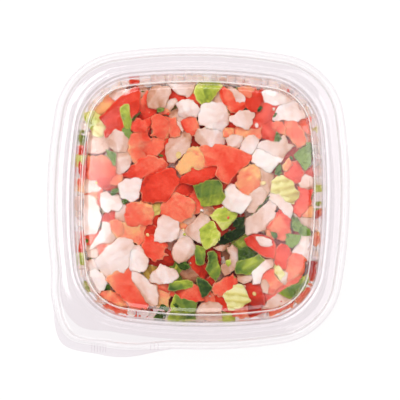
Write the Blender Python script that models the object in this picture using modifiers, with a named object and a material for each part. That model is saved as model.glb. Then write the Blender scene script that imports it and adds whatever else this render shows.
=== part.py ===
"""Pico de gallo in a clear square deli tub with its press-on lid.

Three solids in one rigid body: the thermoformed tub, the lid pressed into its rim, and the heap of diced
vegetables that fills it. Metres, +Z up. The origin is the middle of the tub's flat foot.
Seen from above, +X is to the right and +Y is away; the lift tab is at the near left corner.
"""

import math
import random

import bmesh
import bpy
from mathutils import Matrix, Vector

MM = 0.001

# Outline of the rim, seen from above: a square whose sides bow outwards.
RIM_HALF_WIDTH = 65.0 * MM
BOW_RADIUS = 226.0 * MM
CORNER_RADIUS = 30.5 * MM
SIDE_STEPS = {"right": 5, "back": 5, "left": 6, "front": 9}
CORNER_STEPS = {"back right": 6, "back left": 6, "near left": 10, "near right": 6}

# Heights and wall thicknesses.
RIM_HEIGHT = 50.0 * MM
TUB_WALL = 0.6 * MM
LID_WALL = 0.5 * MM
CLEARANCE = 0.4 * MM

# The near left corner, where rim and lid are squarer and a tear tab reaches out. Each bump is given by the
# angles between which it has its full height, and by the angles in which it rises and falls.
CORNER_FULL = (math.radians(224), math.radians(226))
CORNER_RISE = (math.radians(19), math.radians(12))
CORNER_GROWTH = 4.0 * MM
TAB_FULL = (math.radians(229), math.radians(239))
TAB_RISE = (math.radians(12), math.radians(26))
TAB_REACH = 6.7 * MM

# Below this inset the tub's rings shrink towards the middle and keep their corners' proportions.
WALL_TOP_INSET = 10.0 * MM

# Tub, halfway through its wall: (inset from the rim's edge, height), from the trimmed edge to the foot.
TUB_PROFILE = [
    (0.0 * MM, RIM_HEIGHT - 6.5 * MM),
    (0.9 * MM, RIM_HEIGHT - 6.5 * MM),
    (1.3 * MM, RIM_HEIGHT - 1.2 * MM),
    (2.1 * MM, RIM_HEIGHT - 0.3 * MM),
    (3.1 * MM, RIM_HEIGHT - 0.3 * MM),
    (3.8 * MM, RIM_HEIGHT - 1.1 * MM),
    (4.1 * MM, RIM_HEIGHT - 4.0 * MM),
    (9.0 * MM, RIM_HEIGHT - 4.0 * MM),
    (9.9 * MM, RIM_HEIGHT - 4.9 * MM),
    (11.2 * MM, RIM_HEIGHT - 12.5 * MM),
    (12.2 * MM, RIM_HEIGHT - 13.5 * MM),
    (18.3 * MM, 7.0 * MM),
    (19.8 * MM, 2.4 * MM),
    (23.0 * MM, TUB_WALL / 2),
]
TUB_RINGS_WITH_TAB = 1
TUB_RINGS_WITH_CORNER = 7
TUB_WALL_START = 8

# Lid, halfway through its wall, from its edge on the tub's seat to the raised panel.
LID_SEAT = RIM_HEIGHT - 3.15 * MM
LID_PLUG_BOTTOM = RIM_HEIGHT - 8.0 * MM
LID_PANEL_EDGE = RIM_HEIGHT - 2.9 * MM
LID_PANEL_EDGE_INSET = 16.6 * MM
LID_PANEL_CROWN = 1.5 * MM
LID_PROFILE = [
    (4.9 * MM, LID_SEAT),
    (7.0 * MM, LID_SEAT),
    (7.7 * MM, RIM_HEIGHT - 1.5 * MM),
    (8.5 * MM, RIM_HEIGHT - 1.0 * MM),
    (9.8 * MM, RIM_HEIGHT - 1.0 * MM),
    (10.8 * MM, RIM_HEIGHT - 2.2 * MM),
    (11.6 * MM, RIM_HEIGHT - 7.2 * MM),
    (12.2 * MM, LID_PLUG_BOTTOM),
    (13.0 * MM, LID_PLUG_BOTTOM),
    (13.7 * MM, RIM_HEIGHT - 7.3 * MM),
    (15.6 * MM, RIM_HEIGHT - 3.6 * MM),
    (LID_PANEL_EDGE_INSET, LID_PANEL_EDGE),
]
LID_RINGS_WITH_CORNER = 1

# The panel's corners are cut off by straight creases, a set way from the middle, and slope down outside them.
CREASE_INSET = 17.7 * MM
CREASE_DISTANCE = 53.3 * MM
CREASE_HEIGHT = RIM_HEIGHT - 2.2 * MM
PANEL_RING_SHARE = 0.55

# The heap: a core with the diced pieces that show fused on to it.
HEAP_BOTTOM = 2.8 * MM
CORE_DEPTH = 3.0 * MM
CORE_TOP_RINGS = ((0.93, RIM_HEIGHT - 9.0 * MM), (0.80, RIM_HEIGHT - 6.2 * MM))
CORE_STEPS = 3
TOP_SPACING = 10.4 * MM
SIDE_SPACING = 12.2 * MM
DIE_SIDE = (8.0 * MM, 12.5 * MM)
DIE_THICKNESS = (5.0 * MM, 7.5 * MM)
STRIP_LENGTH = (13.0 * MM, 18.0 * MM)
STRIP_SIDE = (4.0 * MM, 6.0 * MM)
STRIP_SHARE = 0.14
CORNER_JITTER = 0.16
TILT = 0.16
PLACE_JITTER = 1.4 * MM
TOP_DEPTH = (2.6 * MM, 4.4 * MM)
SIDE_DEPTH = (2.9 * MM, 3.6 * MM)
SHRINK = 0.93
SHRINK_TRIES = 8
SINK = 0.25 * MM
SIDE_ROW_HEIGHTS = (7.8 * MM, 17.2 * MM, 26.6 * MM, 35.4 * MM)
SHOULDER_INSET = 16.4 * MM
SHOULDER_HEIGHT = RIM_HEIGHT - 9.6 * MM
SHOULDER_LEAN = 0.9
TOP_INSET = 22.0 * MM
SEED = 14

SHARP_ANGLE = math.radians(35)
TUB_COLOUR = (0.90, 0.90, 0.92, 0.30)
LID_COLOUR = (0.93, 0.93, 0.95, 0.25)
HEAP_COLOUR = (0.80, 0.16, 0.08, 1.0)


def corner_turn():
    """Half the angle that each bowed side turns through, where it meets the corner's arc."""
    share = (BOW_RADIUS - RIM_HALF_WIDTH) / (BOW_RADIUS - CORNER_RADIUS)
    return math.acos(share / math.sqrt(2)) - math.pi / 4


TURN = corner_turn()
CORNER_CENTRE = (BOW_RADIUS - CORNER_RADIUS) * math.sin(TURN)


def outline():
    """The rim's outermost line as (point, outward direction) pairs, anticlockwise from the right side."""
    found = []
    for quarter, (side_steps, corner_steps) in enumerate(zip(SIDE_STEPS.values(), CORNER_STEPS.values())):
        turned = Matrix.Rotation(quarter * math.pi / 2, 2)
        for step in range(side_steps):
            angle = -TURN + 2 * TURN * step / side_steps
            out = Vector((math.cos(angle), math.sin(angle)))
            centre = Vector((RIM_HALF_WIDTH - BOW_RADIUS, 0))
            found.append((turned @ (centre + BOW_RADIUS * out), turned @ out))
        for step in range(corner_steps):
            angle = TURN + (math.pi / 2 - 2 * TURN) * step / corner_steps
            out = Vector((math.cos(angle), math.sin(angle)))
            centre = Vector((CORNER_CENTRE, CORNER_CENTRE))
            found.append((turned @ (centre + CORNER_RADIUS * out), turned @ out))
    return found


def swell(point, full, rise):
    """A smooth bump round the outline: 1 between the two full angles, 0 a rise away from them."""
    angle = math.atan2(point.y, point.x) % (2 * math.pi)
    off = max((full[0] - angle) / rise[0], (angle - full[1]) / rise[1], 0.0)
    return math.cos(min(1.0, off) * math.pi / 2) ** 2


def ring(inset, height, with_corner=False, with_tab=False, shrinks=False):
    """The outline moved inwards by inset, at a height. One that shrinks keeps its corners' proportions."""
    points = []
    for point, out in outline():
        depth = min(inset, WALL_TOP_INSET) if shrinks else inset
        moved = point - depth * out
        if with_corner:
            moved += CORNER_GROWTH * swell(point, CORNER_FULL, CORNER_RISE) * out
        if with_tab:
            moved += TAB_REACH * swell(point, TAB_FULL, TAB_RISE) * out
        if shrinks and inset > WALL_TOP_INSET:
            moved *= (RIM_HALF_WIDTH - inset) / (RIM_HALF_WIDTH - WALL_TOP_INSET)
        points.append(Vector((moved.x, moved.y, height)))
    return points


def tub_ring(inset, height):
    return ring(inset, height, shrinks=True)


def rim_distance(x, y):
    """How far inside the rim's outermost line a point lies, seen from above."""
    x, y = max(abs(x), abs(y)), min(abs(x), abs(y))
    from_corner = Vector((x - CORNER_CENTRE, y - CORNER_CENTRE))
    if from_corner.x > 0 and from_corner.y > from_corner.x * math.tan(TURN):
        return CORNER_RADIUS - from_corner.length
    return BOW_RADIUS - math.hypot(x - (RIM_HALF_WIDTH - BOW_RADIUS), y)


def between(table, at):
    """The value of a list of (key, value) pairs, whose keys rise, at a key between them."""
    for (low, first), (high, last) in zip(table, table[1:]):
        if at <= high:
            share = max(0.0, (at - low) / (high - low))
            return first + share * (last - first)
    return table[-1][1]


WALL_INSETS = [(height, inset) for inset, height in reversed(TUB_PROFILE[TUB_WALL_START:])]
LID_LIMITS = [
    (0.0, LID_PLUG_BOTTOM),
    (13.4 * MM, LID_PLUG_BOTTOM),
    (16.0 * MM, RIM_HEIGHT - 4.0 * MM),
    (LID_PANEL_EDGE_INSET + 1.0 * MM, LID_PANEL_EDGE),
    (CREASE_INSET + 9.0 * MM, CREASE_HEIGHT),
    (RIM_HALF_WIDTH, CREASE_HEIGHT),
]


def wall_share(height):
    """How wide the tub is inside at a height, as a share of its width where the wall starts."""
    inset = between(WALL_INSETS, height) + TUB_WALL / 2 + CLEARANCE
    return (RIM_HALF_WIDTH - inset) / (RIM_HALF_WIDTH - WALL_TOP_INSET)


def heap_top(x, y):
    """The height of the lid's underside above a point, less the clearance."""
    return between(LID_LIMITS, rim_distance(x, y)) - LID_WALL / 2 - CLEARANCE


def within_tub(point):
    """True if a point is clear of the tub and of the lid."""
    if point.z < HEAP_BOTTOM or point.z > heap_top(point.x, point.y):
        return False
    share = wall_share(point.z)
    return rim_distance(point.x / share, point.y / share) >= WALL_TOP_INSET


def material(name, colour, roughness):
    made = bpy.data.materials.new(name)
    made.use_nodes = True
    shader = made.node_tree.nodes["Principled BSDF"]
    shader.inputs["Base Color"].default_value = (*colour[:3], 1.0)
    shader.inputs["Alpha"].default_value = colour[3]
    shader.inputs["Roughness"].default_value = roughness
    shader.inputs["Metallic"].default_value = 0.0
    made.diffuse_color = colour
    return made


def loft(name, rings, fill_last=True, fill_first=False):
    """A skin through rings that have the same number of points."""
    mesh = bpy.data.meshes.new(name)
    build = bmesh.new()
    rows = [[build.verts.new(point) for point in points] for points in rings]
    for upper, lower in zip(rows, rows[1:]):
        for i in range(len(upper)):
            j = (i + 1) % len(upper)
            build.faces.new((upper[i], upper[j], lower[j], lower[i]))
    if fill_last:
        build.faces.new(rows[-1])
    if fill_first:
        build.faces.new(rows[0])
    bmesh.ops.recalc_face_normals(build, faces=build.faces)
    build.to_mesh(mesh)
    build.free()
    return bpy.data.objects.new(name, mesh)


def shell(name, rings, wall, look, collection):
    """A thin-walled piece: the skin through the rings, given its wall and smooth shading."""
    made = loft(name, rings)
    collection.objects.link(made)
    thicken = made.modifiers.new("wall", "SOLIDIFY")
    thicken.thickness = wall
    thicken.offset = 0.0
    thicken.use_even_offset = True
    made.data.materials.append(look)
    made.data.shade_smooth()
    made.data.set_sharp_from_angle(angle=SHARP_ANGLE)
    return made


def make_tub(collection):
    rings = []
    for index, (inset, height) in enumerate(TUB_PROFILE):
        if index < TUB_RINGS_WITH_CORNER:
            rings.append(ring(inset, height, True, index < TUB_RINGS_WITH_TAB))
        else:
            rings.append(tub_ring(inset, height))
    return shell("tub", rings, TUB_WALL, material("clear_tub", TUB_COLOUR, 0.08), collection)


def make_lid(collection):
    rings = [
        ring(inset, height, with_corner=index < LID_RINGS_WITH_CORNER)
        for index, (inset, height) in enumerate(LID_PROFILE)
    ]
    creased = []
    for point in ring(CREASE_INSET, CREASE_HEIGHT):
        reach = (abs(point.x) + abs(point.y)) / math.sqrt(2)
        share = min(1.0, CREASE_DISTANCE / reach)
        creased.append(Vector((point.x * share, point.y * share, point.z)))
    height = LID_PANEL_EDGE + LID_PANEL_CROWN
    middle = [Vector((p.x * PANEL_RING_SHARE, p.y * PANEL_RING_SHARE, height)) for p in creased]
    rings += [creased, middle]
    return shell("lid", rings, LID_WALL, material("clear_lid", LID_COLOUR, 0.06), collection)


def make_core(collection):
    """The heap's inside: the tub's own room, drawn in by the core's depth all round."""
    low, high = HEAP_BOTTOM, SHOULDER_HEIGHT - CORE_DEPTH
    rings = []
    for step in range(CORE_STEPS + 1):
        height = low + (high - low) * step / CORE_STEPS
        inset = between(WALL_INSETS, height) + TUB_WALL / 2 + CLEARANCE + CORE_DEPTH
        rings.append(tub_ring(inset, height))
    for share, height in CORE_TOP_RINGS:
        rings.append([Vector((p.x * share, p.y * share, height)) for p in rings[CORE_STEPS]])
    core = loft("salsa", rings[::-1], fill_first=True)
    collection.objects.link(core)
    return core


def die(name, centre, facing, draw, collection):
    """A roughly cut dice or strip, flat side turned to facing, made smaller until clear of tub and lid."""
    ranges = (DIE_SIDE, DIE_SIDE, DIE_THICKNESS)
    if draw.random() < STRIP_SHARE:
        ranges = (STRIP_LENGTH, STRIP_SIDE, STRIP_SIDE)
    half = [draw.uniform(*each) / 2 for each in ranges]
    build = bmesh.new()
    bmesh.ops.create_cube(build, size=2.0)
    aim = facing.to_track_quat("Z", "Y").to_matrix()
    aim = aim @ Matrix.Rotation(draw.gauss(0, TILT), 3, "X") @ Matrix.Rotation(draw.gauss(0, TILT), 3, "Y")
    aim = aim @ Matrix.Rotation(draw.uniform(0, math.pi), 3, "Z")
    for vert in build.verts:
        for axis in range(3):
            vert.co[axis] *= half[axis] * (1 + draw.uniform(-CORNER_JITTER, CORNER_JITTER))
        vert.co = aim @ vert.co
    for _ in range(SHRINK_TRIES):
        tests = [vert.co for vert in build.verts]
        tests += [(edge.verts[0].co + edge.verts[1].co) / 2 for edge in build.edges]
        tests += [face.calc_center_median() for face in build.faces]
        if all(within_tub(centre + test) for test in tests):
            break
        for vert in build.verts:
            vert.co *= SHRINK
        centre = centre - facing * SINK
    else:
        build.free()
        return
    mesh = bpy.data.meshes.new(name)
    build.to_mesh(mesh)
    build.free()
    made = bpy.data.objects.new(name, mesh)
    made.location = centre
    collection.objects.link(made)


def scatter_dice(draw, collection):
    """Dice over the top of the heap in a loose brick pattern, round its shoulder, and in rows on its side."""
    count = int(2 * (RIM_HALF_WIDTH - WALL_TOP_INSET) / TOP_SPACING) + 1
    for row in range(count):
        for column in range(count):
            shift = 0.25 if row % 2 else -0.25
            x = (column - (count - 1) / 2 + shift) * TOP_SPACING + draw.uniform(-PLACE_JITTER, PLACE_JITTER)
            y = (row - (count - 1) / 2) * TOP_SPACING + draw.uniform(-PLACE_JITTER, PLACE_JITTER)
            if rim_distance(x, y) < TOP_INSET:
                continue
            middle = Vector((x, y, heap_top(x, y) - draw.uniform(*TOP_DEPTH)))
            die(f"top_{row}_{column}", middle, Vector((0, 0, 1)), draw, collection)
    dice_round("shoulder", ring(SHOULDER_INSET, SHOULDER_HEIGHT), SHOULDER_LEAN, draw, collection)
    for row, height in enumerate(SIDE_ROW_HEIGHTS):
        share = wall_share(height)
        around = [Vector((p.x * share, p.y * share, p.z)) for p in ring(WALL_TOP_INSET, height)]
        dice_round(f"side_{row}", around, 0.0, draw, collection)


def dice_round(name, around, lean, draw, collection):
    """Dice along a closed line, just inside it, facing outwards and by lean upwards."""
    length = sum((a - b).length for a, b in zip(around, around[1:] + around[:1]))
    places = int(length / SIDE_SPACING)
    start = draw.random() / places
    for place in range(places):
        at, out = along(around, start + place / places)
        middle = at - out * draw.uniform(*SIDE_DEPTH)
        middle.z += draw.uniform(-PLACE_JITTER, PLACE_JITTER)
        die(f"{name}_{place}", middle, (out + Vector((0, 0, lean))).normalized(), draw, collection)


def along(points, share):
    """The point at a share of the way round a closed line, and the direction outwards there."""
    closed = points + points[:1]
    lengths = [(b - a).length for a, b in zip(closed, closed[1:])]
    left = (share % 1.0) * sum(lengths)
    for (a, b), length in zip(zip(closed, closed[1:]), lengths):
        if left <= length:
            run = (b - a).normalized()
            return a + run * left, Vector((run.y, -run.x, 0))
        left -= length
    return points[0], points[0].normalized()


def make_heap(collection, dice):
    """The core and its dice, joined into one solid."""
    core = make_core(collection)
    core.data.materials.append(material("diced_vegetables", HEAP_COLOUR, 0.45))
    scatter_dice(random.Random(SEED), dice)
    join = core.modifiers.new("join", "BOOLEAN")
    join.operation = "UNION"
    join.operand_type = "COLLECTION"
    join.collection = dice
    join.solver = "MANIFOLD"
    bpy.context.view_layer.update()
    graph = bpy.context.evaluated_depsgraph_get()
    joined = bpy.data.meshes.new_from_object(core.evaluated_get(graph))
    core.modifiers.clear()
    core.data = joined
    for each in list(dice.objects):
        bpy.data.objects.remove(each)
    return core


def main():
    for each in list(bpy.data.objects):
        bpy.data.objects.remove(each)
    pack = bpy.data.collections.new("pico_de_gallo")
    dice = bpy.data.collections.new("dice")
    for each in (pack, dice):
        bpy.context.scene.collection.children.link(each)
    dice.hide_render = True
    make_tub(pack)
    make_lid(pack)
    make_heap(pack, dice)


main()
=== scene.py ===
import math
import random

import bmesh
import bpy
import numpy as np
from mathutils import Matrix, Vector, noise
from mathutils.bvhtree import BVHTree
from mathutils.geometry import delaunay_2d_cdt


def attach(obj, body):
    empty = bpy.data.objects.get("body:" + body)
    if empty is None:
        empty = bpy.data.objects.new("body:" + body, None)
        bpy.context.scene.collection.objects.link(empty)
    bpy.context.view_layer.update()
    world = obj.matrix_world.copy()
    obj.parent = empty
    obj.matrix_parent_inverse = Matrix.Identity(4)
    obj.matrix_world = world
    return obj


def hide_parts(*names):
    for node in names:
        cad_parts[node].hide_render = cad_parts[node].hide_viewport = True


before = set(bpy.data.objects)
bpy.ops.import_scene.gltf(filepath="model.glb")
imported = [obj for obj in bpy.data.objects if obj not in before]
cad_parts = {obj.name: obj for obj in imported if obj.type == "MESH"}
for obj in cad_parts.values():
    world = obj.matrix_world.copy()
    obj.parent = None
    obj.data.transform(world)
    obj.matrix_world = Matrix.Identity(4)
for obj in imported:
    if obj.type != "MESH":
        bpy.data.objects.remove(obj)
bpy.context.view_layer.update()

# Seen from above, +X is to the right and +Y is away. Lengths are in metres, or in mm where a note says so.
mm = 0.001

# The rim's outline: a square whose sides bow outwards, as in the CAD model. The near left corner is squarer
# and has the tear tab. Each grows fully between two angles in degrees, and not at all a rise away from them.
rimShape = {
    "half": 65.0 * mm, "bow": 226.0 * mm, "corner": 30.5 * mm, "height": 50.0 * mm,
    "straighter": 16, "straighterFrom": 3.5 * mm,  # the sides of rings with much rounder corners
    "sideSteps": 20, "cornerSteps": 24,
    "wallTop": 10.0 * mm,  # the inset from which the wall's rings shrink evenly
    "cornerBump": {"full": (224, 226), "rise": (19, 12), "growth": 4.0 * mm},
    "tabBump": {"full": (229, 239), "rise": (12, 26), "growth": 6.7 * mm},
}


# Half the width of an outline, its sides' and corners' radii, half the angle that a side spans, and how far
# out the corners' centres lie.
def outlineShape(inset, rounder):
    half, corner = rimShape["half"] - inset, rimShape["corner"] - inset + rounder
    bow = rimShape["bow"] - inset
    bow = bow + rimShape["straighter"] * np.maximum(0.0, rounder - rimShape["straighterFrom"])
    turn = np.arccos((bow - half) / (bow - corner) / math.sqrt(2)) - math.pi / 4
    return half, bow, corner, turn, (bow - corner) * np.sin(turn)


# The outline moved inwards by inset, as (point, outward direction) pairs.
def outlinePoints(inset=0.0, rounder=0.0):
    half, bow, corner, turn, centre = [float(value) for value in outlineShape(inset, rounder)]
    found = []
    for quarter in range(4):
        turned = Matrix.Rotation(quarter * math.pi / 2, 2)
        for start, span, steps, middle, radius in (
                (-turn, 2 * turn, rimShape["sideSteps"], Vector((half - bow, 0)), bow),
                (turn, math.pi / 2 - 2 * turn, rimShape["cornerSteps"], Vector((centre, centre)), corner)):
            for step in range(steps):
                angle = start + span * step / steps
                out = Vector((math.cos(angle), math.sin(angle)))
                found.append((turned @ (middle + radius * out), turned @ out))
    return found


# How far a bump pushes a point of the outline outwards.
def swell(point, bump):
    angle = math.degrees(math.atan2(point.y, point.x)) % 360
    low, high = bump["full"]
    off = max((low - angle) / bump["rise"][0], (angle - high) / bump["rise"][1], 0.0)
    return bump["growth"] * math.cos(min(1.0, off) * math.pi / 2) ** 2


# How much smaller than at its top the wall is at an inset.
def wallShare(inset):
    return (rimShape["half"] - inset) / (rimShape["half"] - rimShape["wallTop"])


# A ring at a height, with its shares of the corner's and of the tab's growth.
def ring(inset, height, corner=0.0, tab=0.0, rounder=0.0, shrinks=False):
    points = []
    for point, out in outlinePoints(min(inset, rimShape["wallTop"]) if shrinks else inset, rounder):
        growth = corner * swell(point, rimShape["cornerBump"]) + tab * swell(point, rimShape["tabBump"])
        moved = point + growth * out
        if shrinks and inset > rimShape["wallTop"]:
            moved *= wallShare(inset)
        points.append((moved.x, moved.y, height))
    return points


# The value of a list of (key, value) pairs, whose keys rise, at a number or an array.
def between(table, at):
    return np.interp(at, [key for key, _ in table], [value for _, value in table])


# A profile with small arcs in place of its corners, none longer than nearly half a side.
def roundedProfile(shape):
    points = [np.array(point) for point in shape["profile"]]
    made = [points[0]]
    for before, here, after in zip(points, points[1:], points[2:]):
        back, on = before - here, after - here
        backLength, onLength = np.linalg.norm(back[:2]), np.linalg.norm(on[:2])
        cut = min(shape["arc"], 0.45 * backLength, 0.45 * onLength)
        first, last = here + back * cut / backLength, here + on * cut / onLength
        for share in (0.0, 0.33, 0.67, 1.0):
            made.append((1 - share) ** 2 * first + 2 * share * (1 - share) * here + share ** 2 * last)
    made.append(points[-1])
    return [point.tolist() for point in made]


# Profiles halfway through the wall: inset and height in mm, share of the corner's and of the tab's growth,
# and how much rounder the ring's corners are, in mm.
tub = {"wall": 0.45 * mm, "arc": 0.4, "tabInset": 0.1, "profile": [
    (0.0, 43.5, 1, 1, 0),
    (0.15, 43.5, 1, 0.35, 0),
    (0.35, 48.4, 1, 0.35, 0),
    (1.3, 49.7, 1, 0.35, 0),
    (2.8, 49.7, 1, 0.55, 0),
    (3.5, 49.0, 1, 0.55, 0),
    (3.8, 46.0, 1, 0.55, 0),
    (9.1, 46.0, 0, 0, 5.5),
    (9.9, 45.5, 0, 0, 6.3),
    (10.05, 38.2, 0, 0, 6.3),
    (10.6, 37.5, 0, 0, 6.3),
    (12.2, 36.5, 0, 0, 4.5),
    (18.3, 7.0, 0, 0, 0),
    (19.8, 2.4, 0, 0, 0),
    (23.0, 0.3, 0, 0, 0),
]}
lid = {"wall": 0.4 * mm, "arc": 0.3, "profile": [
    (4.3, 46.85, 1, 0, 0),
    (6.5, 46.85, 0, 0, 0),
    (7.7, 47.5, 0, 0, 2),
    (8.1, 48.7, 0, 0, 2.5),
    (8.6, 49.1, 0, 0, 3.5),
    (10.5, 49.1, 0, 0, 6.3),
    (11.3, 48.7, 0, 0, 6.3),
    (11.7, 47.8, 0, 0, 6.3),
    (11.9, 42.9, 0, 0, 6.3),
    (12.3, 42.3, 0, 0, 6),
    (14.0, 42.3, 0, 0, 4.2),
    (14.6, 42.6, 0, 0, 3.5),
    (14.75, 46.8, 0, 0, 3.5),
    (14.85, 47.2, 0, 0, 3.5),
    (15.05, 47.2, 0, 0, 3.5),
    (15.3, 46.9, 0, 0, 3.5),
    (16.6, 47.0, 0, 0, 3),
], "bend": (14.61, 15.1), "panelInset": 15.6,  # insets in mm of the bend, with its painted highlight, and of the clearer panel
    "creaseInset": 17.6 * mm, "creaseRounder": 2.5 * mm, "creaseDistance": 53.3 * mm,
    "creaseHeight": 47.75 * mm, "crownHeight": 48.6 * mm,
    "crownShares": (0.988, 0.97, 0.9, 0.78, 0.6, 0.38, 0.16)}

# The room for the food: the lid's underside as (inset, height), the tub's inside as (height, inset), how
# much rounder the corners are there, a gap below the lid, and how far food may reach into wall and floor.
room = {
    "lid": [(0.0, 42.2 * mm), (15.2 * mm, 42.2 * mm), (15.8 * mm, 46.4 * mm),
            (17.6 * mm, 47.0 * mm), (26.7 * mm, 47.8 * mm), (65.0 * mm, 48.5 * mm)],
    "lidRounder": 3.5 * mm, "lidGap": 0.15 * mm,
    "wall": [(0.3 * mm, 23.0 * mm), (2.4 * mm, 19.8 * mm), (7.0 * mm, 18.3 * mm),
             (36.5 * mm, 12.4 * mm), (37.5 * mm, 11.0 * mm), (45.1 * mm, 10.6 * mm)],
    "wallRounder": [(7.0 * mm, 0.0), (36.5 * mm, 4.5 * mm), (37.5 * mm, 6.3 * mm)],
    "intoWall": 0.12 * mm, "intoFloor": 0.1 * mm,
}


# How far inside the rim's outermost line, or one with rounder corners, points lie, seen from above.
def rimDistance(x, y, rounder=0.0):
    half, bow, corner, turn, centre = outlineShape(0.0, rounder)
    far, near = np.maximum(np.abs(x), np.abs(y)), np.minimum(np.abs(x), np.abs(y))
    u, v = far - centre, near - centre
    atCorner = (u > 0) & (v > u * np.tan(turn))
    return np.where(atCorner, corner - np.hypot(u, v), bow - np.hypot(far - (half - bow), near))


# The height of the lid's underside, less the gap.
def ceiling(x, y):
    return between(room["lid"], rimDistance(x, y, room["lidRounder"])) - lid["wall"] / 2 - room["lidGap"]


# Presses points inwards so that they stay under the lid and reach the tub's wall, less a gap for each point.
def keepInside(points, gaps):
    points[:, 2] = np.minimum(points[:, 2], ceiling(points[:, 0], points[:, 1]) - gaps)
    points[:, 2] = np.maximum(points[:, 2], tub["wall"] - room["intoFloor"] + gaps)
    share = wallShare(between(room["wall"], points[:, 2]) + tub["wall"] / 2 - room["intoWall"] + gaps)
    rounder = between(room["wallRounder"], points[:, 2])
    for _ in range(4):
        over = rimShape["wallTop"] - rimDistance(points[:, 0] / share, points[:, 1] / share, rounder)
        reach = np.hypot(points[:, 0], points[:, 1]) / share
        points[:, :2] *= (1 - np.maximum(over, 0) / np.maximum(reach, 1 * mm))[:, None]
    return points


# Materials

# An sRGB hex colour as linear red, green, blue and alpha.
def linear(colour):
    parts = [int(colour[i:i + 2], 16) / 255 for i in (0, 2, 4)]
    return tuple([p / 12.92 if p < 0.04045 else ((p + 0.055) / 1.055) ** 2.4 for p in parts] + [1.0])


# Adds a node, sets its settings and its sockets' values, and links its sockets.
def node(tree, kind, settings=None, values=None, links=None):
    made = tree.nodes.new(kind)
    for name, value in (settings or {}).items():
        setattr(made, name, value)
    for name, value in (values or {}).items():
        made.inputs[name].default_value = value
    for name, source in (links or {}).items():
        tree.links.new(source, made.inputs[name])
    return made


# A Math node's output. Its inputs are numbers or sockets.
def sums(tree, operation, first, second=None):
    made = node(tree, "ShaderNodeMath", {"operation": operation})
    for index, given in enumerate((first, second)):
        if isinstance(given, (int, float)):
            made.inputs[index].default_value = given
        elif given is not None:
            tree.links.new(given, made.inputs[index])
    return made.outputs[0]


# A material without a shader, its node tree, and the socket that the shader goes to.
def emptyMaterial(name):
    made = bpy.data.materials.new(name)
    made.use_nodes = True
    made.node_tree.nodes.clear()
    output = made.node_tree.nodes.new("ShaderNodeOutputMaterial")
    return made, made.node_tree, output.inputs["Surface"]


def plainMaterial(name, values):
    made, tree, surface = emptyMaterial(name)
    tree.links.new(node(tree, "ShaderNodeBsdfPrincipled", values=values).outputs[0], surface)
    return made


# Thin clear plastic: see-through straight on, and greyer, milkier and more reflecting where it is seen
# edge-on. Each rise says how late that comes.
sheet = {
    "clear": "fdfbfc", "edge": "aaa2a4", "greyRise": 6.0,
    "body": "f4eff4", "bodyRoughness": 0.5, "haze": 0.008, "milk": 0.11, "milkRise": 3.0,
    "roughness": 0.07, "leastShine": 0.032, "shine": 0.9, "shineRise": 5.0,
}


def clearPlastic(name, **changes):
    look = {**sheet, **changes}
    made, tree, surface = emptyMaterial(name)
    facing = node(tree, "ShaderNodeLayerWeight", values={"Blend": 0.5}).outputs["Facing"]
    tint = node(tree, "ShaderNodeMix", {"data_type": "RGBA"},
                {6: linear(look["clear"]), 7: linear(look["edge"])},
                {0: sums(tree, "POWER", facing, look["greyRise"])})
    through = node(tree, "ShaderNodeBsdfTransparent", links={"Color": tint.outputs[2]})
    solid = node(tree, "ShaderNodeBsdfPrincipled",
                 values={"Base Color": linear(look["body"]), "Roughness": look["bodyRoughness"]})
    milk = sums(tree, "MULTIPLY", sums(tree, "POWER", facing, look["milkRise"]), look["milk"])
    film = node(tree, "ShaderNodeMixShader", links={
        0: sums(tree, "ADD", milk, look["haze"]), 1: through.outputs[0], 2: solid.outputs[0]})
    shine = node(tree, "ShaderNodeBsdfGlossy", {"distribution": "BECKMANN"},
                 {"Color": (1, 1, 1, 1), "Roughness": look["roughness"]})
    shining = sums(tree, "MULTIPLY", sums(tree, "POWER", facing, look["shineRise"]), look["shine"])
    mixed = node(tree, "ShaderNodeMixShader", links={
        0: sums(tree, "ADD", shining, look["leastShine"]), 1: film.outputs[0], 2: shine.outputs[0]})
    tree.links.new(mixed.outputs[0], surface)
    return made


# Cut vegetable flesh: its tone attribute picks the colour, and noise, faint lines and the cut rim vary it.
# The paler rim is painted highlight on the cut edges of tomato and onion, and the real paler flesh on
# peppers.
flesh = {
    "scale": 150.0, "detail": 4.0, "distortion": 0.7, "spread": 0.8,  # mottling
    "grit": 800.0, "gritDetail": 3.0, "speckle": 0.25, "gritHeight": 0.35,
    "lines": 1.6, "lineWarp": 7.0, "lineDepth": 0.05, "lineSharp": 3.0, "ridge": 0.12,
    "rim": 0.1, "rimColour": "fccfa4", "rimShare": 0.6, "rimPatches": (0.42, 0.6),
    "bump": 0.5, "bumpDistance": 1.2 * mm,
    "roughness": 0.3, "gloss": 0.2, "refraction": 1.36, "coat": 0.03, "coatRoughness": 0.1,
    "depth": 0.35, "radius": (1.0, 0.3, 0.12), "depthScale": 1.6 * mm,  # light scattered inside
}


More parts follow.
